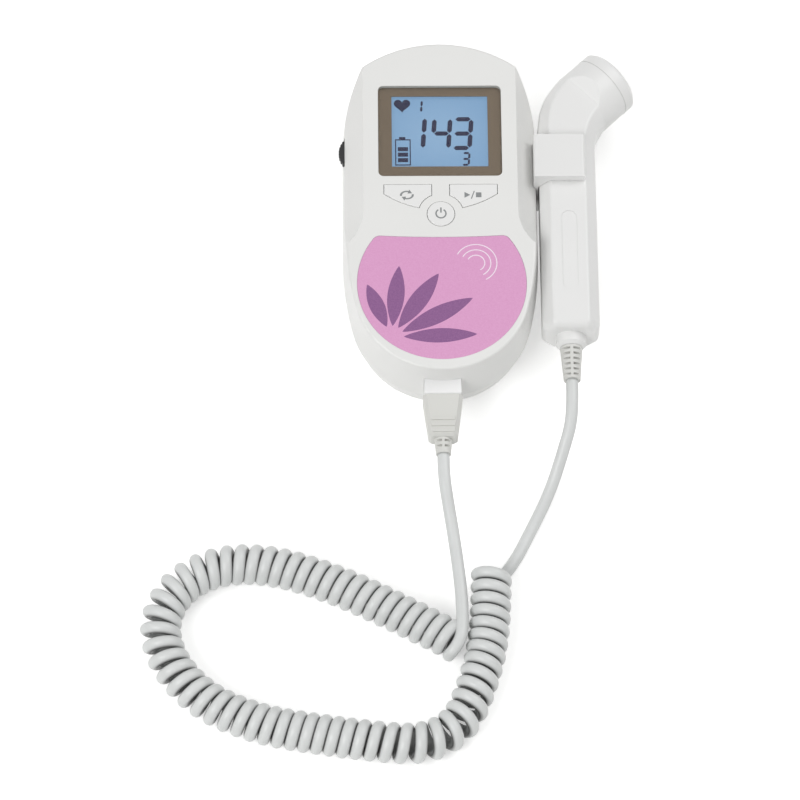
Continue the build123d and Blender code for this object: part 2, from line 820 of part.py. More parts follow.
def make_volume_wheel():
    """Toothed thumbwheel with its spindle."""
    axis_x = wheel_x()
    wheel = rod(wheel_radius, (axis_x, wheel_y, wheel_low_z), (axis_x, wheel_y, wheel_high_z))
    for i in range(wheel_teeth):
        angle = math.radians(i * 360 / wheel_teeth)
        x = axis_x + wheel_radius * math.cos(angle)
        y = wheel_y + wheel_radius * math.sin(angle)
        wheel -= rod(wheel_notch, (x, y, wheel_low_z - 1), (x, y, wheel_high_z + 1))
    foot = (axis_x, wheel_y, board_top_z + 0.5)
    return wheel + rod(shaft_radius, foot, (axis_x, wheel_y, wheel_low_z + 0.5))


def make_headphone_jack():
    """Headphone jack on the board, with its round nose in the top wall."""
    mouth = jack_nose_y()
    back_y = mouth - jack_nose_length
    low = (jack_x - jack_width / 2, back_y - jack_length, board_top_z)
    jack = box_between(low, (jack_x + jack_width / 2, back_y, board_top_z + jack_height))
    jack += rod(jack_nose_radius, (jack_x, back_y - 1, jack_z), (jack_x, mouth, jack_z))
    print(f"headphone bore: mouth at x {jack_x} y {mouth:.3f} z {jack_z}")
    bore_end = (jack_x, mouth - jack_depth, jack_z)
    return jack - rod(jack_bore_radius, bore_end, (jack_x, mouth + 1, jack_z))


def make_electronics():
    """Board with its chips, switches, volume control and headphone jack."""
    chips = [
        on_board(x, board_end_y + above, width, depth, chip_thickness)
        for x, above, width, depth in chip_places
    ]
    return {
        "main_board": make_board(),
        "circuit_chips": joined(chips),
        "key_switches": make_key_switches(),
        "volume_control": make_volume_control(),
        "volume_wheel": make_volume_wheel(),
        "headphone_jack": make_headphone_jack(),
    }


# ---------------------------------------------------------------- speaker
def make_speaker():
    """Round loudspeaker that faces the grille in the back."""
    low_z = case_wall + stack_gap
    high_z = low_z + speaker_depth
    start = (0, speaker_y, low_z)
    end = (0, speaker_y, high_z)
    r = speaker_radius
    basket = [
        (r, 0), (r, speaker_depth), (magnet_radius - 2, speaker_depth),
        (magnet_radius - 2, speaker_depth - 0.8), (r - 1, speaker_depth - 0.8), (r - 1, 0),
    ]
    paper = [(0, 1.7), (4, 1.5), (r - 1, 0.2), (r - 1, 0.6), (4, 1.9), (0, 2.1)]
    return {
        "speaker_frame": turned(basket, start, end),
        "speaker_cone": turned(paper, start, end),
        "speaker_magnet": rod(magnet_radius, end, (0, speaker_y, high_z + magnet_height)),
    }


# ---------------------------------------------------------------- batteries
def make_cell(x, facing):
    """One AA cell; its raised contact points along Y in the given sense."""
    middle = (bay_low_y + bay_top_y) / 2
    half = bay_length / 2 - contact_thickness
    base_y = middle - facing * (half - spring_length)
    tip_y = middle + facing * (half - 0.05)
    shoulder_y = tip_y - facing * 1.2
    cell = rod(cell_radius, (x, base_y, cell_z), (x, shoulder_y, cell_z))
    return cell + rod(2.6, (x, shoulder_y - facing, cell_z), (x, tip_y, cell_z))


def make_battery_spring(x, facing):
    """Pressed battery spring between a contact plate and the flat end of a cell."""
    height = spring_length - 2 * spring_wire - 2 * spring_gap
    path = Helix(pitch=height / spring_turns, height=height, radius=spring_radius)
    section = Plane(origin=path @ 0, z_dir=path % 0) * Circle(spring_wire)
    wire = sweep(section, path=path, is_frenet=True)
    middle = (bay_low_y + bay_top_y) / 2
    start_y = middle - facing * (bay_length / 2 - contact_thickness - spring_wire - spring_gap)
    return Pos(x, start_y, cell_z) * Rot(-90 * facing, 0, 0) * wire


def make_batteries():
    """Two cells side by side, pointing opposite ways, with springs and contact plates."""
    x = cell_radius + cell_gap / 2
    ends = (bay_low_y + contact_thickness / 2, bay_top_y - contact_thickness / 2)
    plate = Box(contact_size, contact_thickness, contact_size)
    plates = [Pos(side * x, y, cell_z) * plate for side in (-1, 1) for y in ends]
    return {
        "battery_cells": joined([make_cell(x, 1), make_cell(-x, -1)]),
        "battery_springs": joined([make_battery_spring(x, 1), make_battery_spring(-x, -1)]),
        "battery_contacts": joined(plates),
    }


# ---------------------------------------------------------------- screws
def make_case_screws():
    """Four screws that hold the covers together from the back."""
    screws = []
    for x, y in boss_places():
        head_top = screw_sink + screw_head_height - stack_gap
        screw = rod(screw_head_radius, (x, y, screw_sink), (x, y, head_top))
        screw += rod(screw_radius, (x, y, screw_sink), (x, y, inner_top_z - 3))
        screws.append(screw - box_between((x - 3, y - 0.3, 0), (x + 3, y + 0.3, screw_sink + 0.6)))
    return joined(screws)


def make_holder_screws():
    """Two short screws that hold the probe holder from inside the case."""
    z = holder_screw_z
    seat_x = side_x(z + holder_head_radius, case_wall) - stack_gap
    screws = []
    for y in holder_screw_places():
        screw = rod(holder_head_radius, (seat_x - holder_head_height, y, z), (seat_x, y, z))
        screw += rod(holder_screw_radius, (seat_x - 1, y, z), (holder_inner_x - 0.5, y, z))
        screws.append(screw)
    return joined(screws)


# ---------------------------------------------------------------- probe socket and plug
def pin_places():
    """Places of the four contacts across the socket."""
    return [(i - 1.5) * pin_pitch for i in range(4)]


def make_probe_socket():
    """Socket housing with a mouth for the plug, flanged inside the case wall."""
    block = socket_box(0)
    block = chamfer(block.faces().sort_by(Axis.Y)[0].edges(), socket_edge)
    flange_x = socket_width / 2 + socket_flange
    flange_z = socket_height / 2 + socket_flange
    block += box_between(
        (-flange_x, socket_flange_y, socket_z - socket_height / 2),
        (flange_x, socket_flange_y + 1.6, socket_z + flange_z),
    )
    mouth = box_between(
        (-socket_mouth_width / 2, socket_front_y - 1, socket_z - socket_mouth_height / 2),
        (socket_mouth_width / 2, socket_front_y + socket_mouth_depth, socket_z + socket_mouth_height / 2),
    )
    return block - mouth


def make_socket_pins():
    """Four contact pins standing in the socket's mouth."""
    back_y = socket_front_y + socket_mouth_depth
    tip_y = back_y - pin_length
    return joined([rod(pin_radius, (x, back_y, socket_z), (x, tip_y, socket_z)) for x in pin_places()])


def make_plug_body():
    """Tapered plug grip with finger ribs, and the nose that enters the socket."""
    start = Plane(origin=(0, plug_start_y, socket_z), x_dir=(1, 0, 0), z_dir=(0, -1, 0))
    end = Plane(origin=(0, plug_end_y, socket_z), x_dir=(1, 0, 0), z_dir=(0, -1, 0))
    wide = start * Rectangle(plug_width, plug_height)
    body = loft([wide, end * Rectangle(plug_end_width, plug_end_height)])
    body = chamfer([e for e in body.edges() if e.length > plug_length - 1], plug_edge)
    body = chamfer(body.faces().sort_by(Axis.Y)[0].edges(), plug_end_edge)
    half_x = socket_mouth_width / 2 - plug_fit
    half_z = socket_mouth_height / 2 - plug_fit
    body += box_between(
        (-half_x, plug_start_y - 1, socket_z - half_z),
        (half_x, socket_front_y + socket_mouth_depth - plug_nose_gap, socket_z + half_z),
    )
    rise = (plug_height - plug_end_height) / 2 / plug_length
    for i in range(plug_rib_count):
        along = plug_rib_start + i * plug_rib_pitch
        high = plug_end_height / 2 + along * rise
        for side in (-1, 1):
            tilt = Rot(side * math.degrees(rise), 0, 0)
            place = Pos(0, plug_end_y + along, socket_z + side * high) * tilt
            body += place * Box(plug_end_width - 2, plug_rib_width, 2 * plug_rib_rise)
    return body


def make_plug():
    """Plug grip, its contact sleeves and its strain relief."""
    nose_y = socket_front_y + socket_mouth_depth - plug_nose_gap
    body = make_plug_body()
    sleeves = []
    for x in pin_places():
        far = (x, nose_y - pin_length, socket_z)
        body -= rod(sleeve_radius + screw_fit, (x, nose_y + 1, socket_z), far)
        sleeve = rod(sleeve_radius, (x, nose_y, socket_z), far)
        sleeve -= rod(pin_radius + pin_fit, (x, nose_y + 1, socket_z), (x, far[1] + 0.4, socket_z))
        sleeves.append(sleeve)
    start = (0, plug_end_y, socket_z)
    boot = slotted_boot(start, plug_boot_radius, plug_boot_end_radius, plug_boot_length, plug_boot_rows)
    return {"plug_body": body, "plug_contacts": joined(sleeves), "plug_boot": boot}


def slotted_boot(start, radius, end_radius, length, rows):
    """Tapered strain relief along -Y with pairs of slots in its top and underside."""
    x, y, z = start
    profile = [(0, 0), (radius, 0), (end_radius, length), (0, length)]
    boot = turned(profile, start, (x, y - length, z))
    for i in range(rows):
        along = boot_slot_first + i * boot_slot_pitch
        here = radius - (radius - end_radius) * along / length
        for side in (-1, 1):
            for face in (-1, 1):
                place = Pos(x + side * here * 0.6, y - along, z + face * here)
                boot -= place * Box(here * 0.9, boot_slot_width, here * 0.9)
    return boot


# ---------------------------------------------------------------- probe
def handle_section(inset):
    """Section of the handle: a box with four bevels and softened corners."""
    w = handle_width / 2
    h = handle_half
    flat = handle_flat / 2
    low = h - handle_bevel_drop
    right = [(flat, h), (w, low), (w, -low), (flat, -h)]
    left = [(-x, z) for x, z in reversed(right)]
    section = make_face(Polyline(*right, *left, close=True))
    if inset:
        section = offset(section, -inset, kind=Kind.INTERSECTION)
    return fillet(section.vertices(), max(handle_edge_round - inset, 0.4))


def across_handle(y):
    """Plane across the probe's handle, with its x along +X and its y along +Z."""
    return Plane(origin=(probe_x, y, probe_z), x_dir=(1, 0, 0), z_dir=(0, -1, 0))


def head_point(back):
    """Point on the head's axis, a distance back from its end face."""
    return neck_point + head_direction * (head_reach - back)


def facet_cutter(inset):
    """Wedge over the head: flat, then a ramp up to the round drum."""
    flat_z = handle_half - inset
    rise = head_radius
    run = rise / math.tan(math.radians(facet_ramp))
    far = -facet_end - 2 * head_reach
    profile = Polyline(
        (far, flat_z), (-facet_end, flat_z), (-facet_end + run, flat_z + rise), (far, flat_z + rise),
        close=True,
    )
    side = head_direction.cross(Vector(0, 0, 1))
    plane = Plane(origin=head_point(0), x_dir=head_direction, z_dir=side * -1)
    return extrude(plane * make_face(profile), 2 * head_radius, both=True)


def facets_off(form, inset):
    """The head's form without what stands over the upper and the lower facet."""
    top = facet_cutter(inset)
    return form - top - mirror(top, Plane.XY.offset(probe_z))


def neck_section(inner_share, outer_share, round_share):
    """Section of the neck: each side has swelled by its share from handle to head."""
    swell = head_radius - handle_width / 2
    inner = handle_width / 2 + inner_share * swell
    outer = handle_width / 2 + outer_share * swell
    h = handle_half
    handle_low = h - handle_bevel_drop
    slope = math.atan2((handle_width - handle_flat) / 2, handle_bevel_drop)
    head_low = head_radius * math.tan(slope / 2)
    head_flat = (head_radius - h * math.sin(slope)) / math.cos(slope)
    low = handle_low + (head_low - handle_low) * round_share
    bevel = (handle_width - handle_flat) / 2
    bevel += (head_radius - head_flat - bevel) * round_share
    right = [(inner - bevel, h), (inner, low), (inner, -low), (inner - bevel, -h)]
    left = [(bevel - outer, -h), (-outer, -low), (-outer, low), (bevel - outer, h)]
    section = make_face(Polyline(*right, *left, close=True))
    side_round = handle_edge_round + (neck_round_share * head_radius - handle_edge_round) * round_share
    section = fillet([v for v in section.vertices() if abs(v.Y) < h - 0.01], side_round)
    return fillet([v for v in section.vertices() if abs(v.Y) > h - 0.01], handle_edge_round)


def neck_plane(turn):
    """Plane across the neck where it has turned by so many degrees from the handle."""
    angle = math.radians(turn)
    x = probe_x + neck_radius * (1 - math.cos(angle))
    y = bend_y + neck_radius * math.sin(angle)
    along = Vector(math.sin(angle), math.cos(angle), 0)
    return Plane(origin=(x, y, probe_z), x_dir=(along.Y, -along.X, 0), z_dir=along * -1)


def probe_outside():
    """Outside of the probe: straight handle, a neck that swells in its bend, round head."""
    start_y = neck_y - neck_swell_start
    handle = extrude(across_handle(start_y) * handle_section(0), start_y - handle_end_y)
    handle = fillet(handle.faces().sort_by(Axis.Y)[0].edges(), handle_end_round)
    sections = [across_handle(start_y) * neck_section(0, 0, 0)]
    for turn_share, inner_share, outer_share, round_share in neck_swell:
        plane = neck_plane(turn_share * neck_turn)
        sections.append(plane * neck_section(inner_share, outer_share, round_share))
    neck = loft(sections)
    drum = rod(head_radius, head_point(facet_end), head_point(cap_length))
    return handle + neck + facets_off(drum, 0)


def probe_hollow():
    """Room inside the probe's wall."""
    inset = probe_wall
    section = handle_section(inset)
    handle = extrude(across_handle(bend_y) * section, bend_y - handle_end_y - inset)
    bend_axis = Axis((probe_x + neck_radius, bend_y, probe_z), (0, 0, 1))
    neck = revolve(across_handle(bend_y) * section, bend_axis, -neck_turn)
    r = head_radius - inset
    length = head_reach - cap_length
    profile = [(0, 0), (hollow_flare_start, 0), (r, hollow_flare_length), (r, length), (0, length)]
    flare = facets_off(turned(profile, neck_point, head_point(0)), inset)
    return handle + neck + flare


def make_probe_shells():
    """Two halves of the probe's housing, joined on the middle plane."""
    hollow = probe_hollow()
    bore = head_radius - probe_wall
    hollow += rod(bore, head_point(cap_length + sleeve_length + 1), head_point(cap_length - 1))
    shell = probe_outside() - hollow
    collar = [
        (0, 0), (collar_radius, 0), (collar_radius, collar_length - collar_edge),
        (collar_radius - collar_edge, collar_length), (0, collar_length),
    ]
    end = (probe_x, handle_end_y, probe_z)
    collar_end = (probe_x, handle_end_y - collar_length - 1, probe_z)
    shell += turned(collar, end, collar_end)
    inside = (probe_x, handle_end_y + probe_wall + 1, probe_z)
    shell -= rod(boot_neck_radius + screw_fit, inside, collar_end)
    pill = Plane(origin=(probe_x, pill_y, probe_z + handle_half - pill_depth)) * Rot(0, 0, 90)
    shell -= extrude(pill * SlotOverall(pill_length, pill_width), 1)
    for y in probe_board_posts():
        for side in (-1, 1):
            x = probe_x + side * (probe_board_width / 2 - 1)
            shell += rod(1.2, (x, y, probe_z - handle_half + 1), (x, y, probe_board_z))
    room = 2 * handle_length
    upper = box_between((0, -room, probe_z), (room, room, probe_z + room))
    lower = box_between((0, -room, probe_z - room), (room, room, probe_z))
    return {"probe_shell_front": shell & upper, "probe_shell_rear": shell & lower}


def probe_board_posts():
    """Places along the handle of the posts under the probe's board."""
    middle = probe_board_y + probe_board_length / 2
    return [middle - probe_board_length * 0.4, middle + probe_board_length * 0.4]


def make_probe_head():
    """Cap with its sleeve, the acoustic lens, split crystal, backing and seal ring."""
    sleeve = head_radius - probe_wall - sleeve_gap
    bore = crystal_radius + 1
    r = head_radius
    groove_low = cap_length + sleeve_length / 2
    profile = [
        (lens_radius + stack_gap, 0), (r - cap_edge_round, 0), (r, cap_edge_round), (r, cap_length),
        (sleeve, cap_length), (sleeve, groove_low), (sleeve - ring_groove, groove_low),
        (sleeve - ring_groove, groove_low + 2.4 * ring_wire), (sleeve, groove_low + 2.4 * ring_wire),
        (sleeve, cap_length + sleeve_length), (bore, cap_length + sleeve_length),
        (bore, lens_thickness + stack_gap), (lens_radius + stack_gap, lens_thickness + stack_gap),
    ]
    face = head_point(0)
    back = head_point(1)
    cap = turned(profile, face, back)
    ring_radius = sleeve - ring_groove + ring_wire + screw_fit
    ring_plane = Plane(origin=head_point(groove_low + 1.2 * ring_wire), z_dir=head_direction)
    crystal_low = lens_thickness + stack_gap
    disc = rod(crystal_radius, head_point(crystal_low), head_point(crystal_low + crystal_thickness))
    slit_plane = Plane(origin=head_point(crystal_low), x_dir=(0, 0, 1), z_dir=head_direction)
    disc -= slit_plane * Box(crystal_split, 3 * crystal_radius, 5 * crystal_thickness)
    backing_low = crystal_low + crystal_thickness
    backing_end = head_point(backing_low + backing_thickness)
    return {
        "probe_cap": cap,
        "acoustic_lens": rod(lens_radius, face, head_point(lens_thickness)),
        "crystal_halves": joined([disc]),
        "crystal_backing": rod(backing_radius, head_point(backing_low), backing_end),
        "probe_seal": ring_plane * Torus(ring_radius, ring_wire),
    }


def make_probe_board():
    """Small board on posts inside the handle."""
    half = probe_board_width / 2
    high_y = probe_board_y + probe_board_length
    high_z = probe_board_z + probe_board_thickness
    return box_between((probe_x - half, probe_board_y, probe_board_z), (probe_x + half, high_y, high_z))


def make_probe_boot():
    """Strain relief through the handle's end, held by a flange inside."""
    start = (probe_x, probe_boot_y, probe_z)
    boot = slotted_boot(start, boot_radius, boot_end_radius, boot_length, boot_slot_rows)
    inner_y = handle_end_y + probe_wall + stack_gap
    inner = (probe_x, inner_y, probe_z)
    flange_end = (probe_x, inner_y + boot_flange, probe_z)
    boot += rod(boot_neck_radius, (probe_x, probe_boot_y - 1, probe_z), flange_end)
    return boot + rod(boot_neck_radius + boot_flange, inner, flange_end)


# ---------------------------------------------------------------- probe holder
def make_probe_holder():
    """Open clip on the case's side that grips the probe's handle from above and below."""
    back = holder_web_x - probe_x
    half = (holder_top_z - holder_low_z) / 2
    outline = Polyline((back, -half), (holder_reach, -half), (holder_reach, half), (back, half), close=True)
    outer = fillet(make_face(outline).vertices(), holder_corner)
    inner = offset(handle_section(0), holder_fit)
    holder = extrude(across_handle(holder_high_y) * (outer - inner), holder_length)
    for y in holder_screw_places():
        z = holder_screw_z
        hole = holder_screw_radius + screw_fit
        holder -= rod(hole, (holder_web_x - 1, y, z), (holder_inner_x - 0.4, y, z))
    return holder


# ---------------------------------------------------------------- the whole object
def make_parts():
    """Every separate piece by name."""
    plug_route = lead_route(plug_boot_end, lead_plug_points)
    probe_route = lead_route(probe_boot_end, lead_probe_points)
    parts = {
        "front_cover": make_front_cover(),
        "rear_cover": make_rear_cover(),
        "battery_door": make_battery_door(),
        "label_overlay": slab(label_shape(0), label_low_z, label_low_z + label_thickness),
        "case_screws": make_case_screws(),
        "holder_screws": make_holder_screws(),
        "probe_holder": make_probe_holder(),
        "probe_socket": make_probe_socket(),
        "socket_pins": make_socket_pins(),
        "probe_board": make_probe_board(),
        "probe_boot": make_probe_boot(),
        "cord_lead_plug": cord_tube(plug_route, cord_diameter, "cord_lead_plug"),
        "cord_lead_probe": cord_tube(probe_route, cord_diameter, "cord_lead_probe"),
        "cord_coil": cord_tube(coil_route, coil_diameter, "cord_coil"),
    }
    groups = (
        make_display(), make_buttons(), make_electronics(), make_speaker(),
        make_batteries(), make_plug(), make_probe_shells(), make_probe_head(),
    )
    for group in groups:
        parts.update(group)
    return parts


os.makedirs("parts", exist_ok=True)
for name, shape in make_parts().items():
    export_step(shape, f"parts/{name}.step")
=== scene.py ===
import math

import bpy
import numpy as np
from mathutils import Matrix, Vector


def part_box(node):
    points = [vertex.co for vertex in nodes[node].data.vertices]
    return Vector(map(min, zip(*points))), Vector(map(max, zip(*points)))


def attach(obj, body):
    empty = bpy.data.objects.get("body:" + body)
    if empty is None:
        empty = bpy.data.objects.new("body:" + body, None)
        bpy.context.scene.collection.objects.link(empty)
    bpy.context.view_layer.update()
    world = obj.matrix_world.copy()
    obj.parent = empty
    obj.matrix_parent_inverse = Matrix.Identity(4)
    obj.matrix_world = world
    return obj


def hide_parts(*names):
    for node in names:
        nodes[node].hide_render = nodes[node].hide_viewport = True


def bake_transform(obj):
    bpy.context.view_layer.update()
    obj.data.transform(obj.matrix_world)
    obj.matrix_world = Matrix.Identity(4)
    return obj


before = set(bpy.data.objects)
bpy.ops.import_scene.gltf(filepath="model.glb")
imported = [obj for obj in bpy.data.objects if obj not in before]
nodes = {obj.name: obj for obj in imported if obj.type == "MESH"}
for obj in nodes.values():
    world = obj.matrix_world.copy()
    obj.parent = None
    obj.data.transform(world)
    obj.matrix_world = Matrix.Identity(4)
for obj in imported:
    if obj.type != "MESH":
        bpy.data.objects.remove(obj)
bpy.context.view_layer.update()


# ---------------------------------------------------------------- camera
# A long lens stands at the plug end and looks steeply down on the monitor, which lies
# on its back. It is turned a little about its own axis and a little to the left.
camera_elevation = math.radians(64.0)
camera_azimuth = math.radians(-1.5)
camera_roll = math.radians(1.11)
camera_distance = 1.8
focal_pixels = 4914.4
frame_pixels = 800
sensor_mm = 36.0
look_at = Vector((-0.0152, -0.0633, 0.0))

backward = Vector((
    math.sin(camera_azimuth) * math.cos(camera_elevation),
    -math.cos(camera_azimuth) * math.cos(camera_elevation),
    math.sin(camera_elevation),
))
level = Vector((math.cos(camera_azimuth), math.sin(camera_azimuth), 0.0))
rightward = level * math.cos(camera_roll) + backward.cross(level) * math.sin(camera_roll)
upward = backward.cross(rightward)

camera_data = bpy.data.cameras.new("camera")
camera_data.sensor_width = sensor_mm
camera_data.lens = focal_pixels * sensor_mm / frame_pixels
camera_data.clip_start = 0.1
camera_data.clip_end = 20.0
camera = bpy.data.objects.new("camera", camera_data)
bpy.context.scene.collection.objects.link(camera)
place = look_at + backward * camera_distance
camera.matrix_world = Matrix((
    (rightward.x, upward.x, backward.x, place.x),
    (rightward.y, upward.y, backward.y, place.y),
    (rightward.z, upward.z, backward.z, place.z),
    (0.0, 0.0, 0.0, 1.0),
))
bpy.context.scene.camera = camera


# ---------------------------------------------------------------- table and light
# A sheet of matt white board, big enough to run out of sight, under a wide soft box and
# the bounce of a white tent. The board keeps the soft shadows of what lies on it.
def hex_colour(code):
    """Linear RGBA of an sRGB hex colour: each channel undone by the sRGB curve."""
    raw = np.array([int(code[i:i + 2], 16) for i in (0, 2, 4)]) / 255.0
    flat = np.where(raw <= 0.04045, raw / 12.92, ((raw + 0.055) / 1.055) ** 2.4)
    return (*(float(channel) for channel in flat), 1.0)


def add(tree, kind, links=None, **settings):
    """Add a node: settings go to its own fields, links to its sockets as outputs or values."""
    made = tree.nodes.new(kind)
    for field, value in settings.items():
        setattr(made, field, value)
    for socket, value in (links or {}).items():
        if isinstance(value, bpy.types.NodeSocket):
            tree.links.new(value, made.inputs[socket])
        else:
            made.inputs[socket].default_value = value
    return made


def new_material(name, **shader):
    """Material with one Principled shader, whose own sockets take the given constants."""
    material = bpy.data.materials.new(name)
    material.use_nodes = True
    tree = material.node_tree
    surface = tree.nodes["Principled BSDF"]
    for socket, value in shader.items():
        surface.inputs[socket.replace("_", " ")].default_value = value
    return material, tree, surface


def base_colour(tree, surface, factor, one, other):
    """Base colour that goes from one colour to the other with a factor."""
    tone = add(tree, "ShaderNodeMix", {"Factor": factor, 6: one, 7: other}, data_type="RGBA")
    tree.links.new(tone.outputs[2], surface.inputs["Base Color"])


def seen_directly(tree):
    """Output that is 1 on camera, mirror and see-through rays, and 0 on those that light."""
    rays = add(tree, "ShaderNodeLightPath").outputs
    seen = add(tree, "ShaderNodeMath", {0: rays["Is Camera Ray"], 1: rays["Is Glossy Ray"]},
               operation="MAXIMUM")
    return add(tree, "ShaderNodeMath", {0: seen.outputs[0], 1: rays["Is Transmission Ray"]},
               operation="MAXIMUM").outputs[0]


def grid_mesh(name, points, closed_u=False, closed_v=False, caps=False):
    """Quads over a rows x columns x 3 grid of points; a closed way joins last to first.

    Row i, column j meets row i + 1 and column j + 1. With caps, the first and the last
    row are each closed by one polygon.
    """
    rows, columns = points.shape[:2]
    index = np.arange(rows * columns).reshape(rows, columns)
    if closed_u:
        index = np.vstack([index, index[:1]])
    if closed_v:
        index = np.hstack([index, index[:, :1]])
    faces = np.stack([index[:-1, :-1], index[:-1, 1:], index[1:, 1:], index[1:, :-1]], axis=-1)
    faces = faces.reshape(-1, 4).tolist()
    if caps:
        faces.append(list(range(columns))[::-1])
        faces.append(list(range((rows - 1) * columns, rows * columns)))
    mesh = bpy.data.meshes.new(name)
    mesh.from_pydata(points.reshape(-1, 3), [], faces)
    mesh.update()
    return mesh


def new_piece(name, mesh, material, smooth=True):
    """Object at the origin that carries a finished mesh and its material."""
    mesh.materials.append(material)
    mesh.polygons.foreach_set("use_smooth", np.full(len(mesh.polygons), smooth))
    piece = bpy.data.objects.new(name, mesh)
    bpy.context.scene.collection.objects.link(piece)
    return piece


def finish_node(names, material):
    """Give CAD nodes a material in every slot they have."""
    for name in names:
        mesh = nodes[name].data
        mesh.materials.clear()
        mesh.materials.append(material)


# matt coated board: even white with a faint paper grain
board_reach = 6.0
board_lift = 0.40              # glow added where the board is seen, so that it reads white
board, tree, surface = new_material("matt_white_board", Roughness=0.9)
place_of = add(tree, "ShaderNodeTexCoord").outputs["Object"]
grain = add(tree, "ShaderNodeTexNoise", {"Vector": place_of, "Scale": 900.0, "Detail": 3.0})
base_colour(tree, surface, grain.outputs["Fac"], hex_colour("efefee"), hex_colour("f6f6f5"))
lift = add(tree, "ShaderNodeMath", {0: seen_directly(tree), 1: board_lift}, operation="MULTIPLY")
surface.inputs["Emission Color"].default_value = (1.0, 1.0, 1.0, 1.0)
tree.links.new(lift.outputs[0], surface.inputs["Emission Strength"])

corners = np.linspace(-board_reach, board_reach, 9)
table_points = np.stack(np.meshgrid(corners, corners, [0.0], indexing="ij"), axis=-1)[:, :, 0][:, ::-1]
table = new_piece("table", grid_mesh("table", table_points), board, smooth=False)

# white tent: full white to the camera and in reflections, a plain level as light
tent_light = 0.42
tent = bpy.data.worlds.new("white_tent")
tent.use_nodes = True
tree = tent.node_tree
sky = tree.nodes["Background"]
level_of = add(tree, "ShaderNodeMapRange", {
    "Value": seen_directly(tree), "To Min": tent_light, "To Max": 1.0,
})
sky.inputs["Color"].default_value = (1.0, 1.0, 1.0, 1.0)
tree.links.new(level_of.outputs[0], sky.inputs["Strength"])
bpy.context.scene.world = tent


def soft_box(name, place, target, size, power):
    """Square area lamp that faces a point."""
    data = bpy.data.lights.new(name, "AREA")
    data.shape = "SQUARE"
    data.size = size
    data.energy = power
    lamp = bpy.data.objects.new(name, data)
    lamp.location = place
    lamp.rotation_euler = (Vector(target) - Vector(place)).to_track_quat("-Z", "Y").to_euler()
    bpy.context.scene.collection.objects.link(lamp)


lit_point = (0.0, -0.05, 0.0)
soft_box("key_box", (-0.9, -0.9, 1.25), lit_point, 0.9, 14.0)
soft_box("fill_box", (0.95, 0.55, 1.35), lit_point, 1.2, 10.5)

scene_settings = bpy.context.scene
scene_settings.view_settings.view_transform = "Standard"


# ---------------------------------------------------------------- covers
# The two covers, the battery door and the probe's clip are injection-moulded white ABS,
# polished in the mould. The covers meet at a stepped seam and four screws hold them.
def fine_relief(tree, surface, height, strength, depth):
    """Bump on the shader's normal from a height output, with its depth in metres."""
    relief = add(tree, "ShaderNodeBump", {"Height": height, "Strength": strength, "Distance": depth})
    tree.links.new(relief.outputs["Normal"], surface.inputs["Normal"])


def moulded_white(name, dark, light, roughness):
    """Smooth moulded ABS: one pale tone that drifts slowly, faint flow waves, fine scuffs."""
    material, tree, surface = new_material(name, IOR=1.53)
    place_of = add(tree, "ShaderNodeTexCoord").outputs["Object"]
    drift = add(tree, "ShaderNodeTexNoise", {"Vector": place_of, "Scale": 38.0, "Detail": 2.0})
    base_colour(tree, surface, drift.outputs["Fac"], hex_colour(dark), hex_colour(light))
    scuff = add(tree, "ShaderNodeTexNoise", {"Vector": place_of, "Scale": 240.0, "Detail": 4.0})
    gloss = add(tree, "ShaderNodeMapRange", {
        "Value": scuff.outputs["Fac"], "To Min": roughness - 0.05, "To Max": roughness + 0.07,
    })
    tree.links.new(gloss.outputs[0], surface.inputs["Roughness"])
    wave = add(tree, "ShaderNodeTexNoise", {"Vector": place_of, "Scale": 1300.0, "Detail": 2.0})
    fine_relief(tree, surface, wave.outputs["Fac"], 0.1, 0.00003)
    return material


case_abs = moulded_white("polished_white_abs", "e6e6e4", "eaeae8", 0.33)
finish_node(["front_cover", "rear_cover", "battery_door"], case_abs)
clip_abs = moulded_white("white_abs_clip", "e6e6e5", "eaeae9", 0.33)
finish_node(["probe_holder"], clip_abs)


# ---------------------------------------------------------------- screws
# Zinc-plated steel: four long self-tapping screws hold the covers together from the
# back, and two short ones hold the probe's clip from inside the front cover.
def plated_metal(name, dark, light, roughness, scale=700.0):
    """Metal whose tone and gloss both follow one streaky noise, as plating does."""
    material, tree, surface = new_material(name, Metallic=1.0)
    place_of = add(tree, "ShaderNodeTexCoord").outputs["Object"]
    streak = add(tree, "ShaderNodeTexNoise", {"Vector": place_of, "Scale": scale, "Detail": 5.0})
    base_colour(tree, surface, streak.outputs["Fac"], hex_colour(dark), hex_colour(light))
    gloss = add(tree, "ShaderNodeMapRange", {
        "Value": streak.outputs["Fac"], "To Min": roughness - 0.06, "To Max": roughness + 0.1,
    })
    tree.links.new(gloss.outputs[0], surface.inputs["Roughness"])
    return material


zinc_plated_steel = plated_metal("zinc_plated_steel", "9fa2a6", "c9ccd0", 0.3)
finish_node(["case_screws", "holder_screws"], zinc_plated_steel)


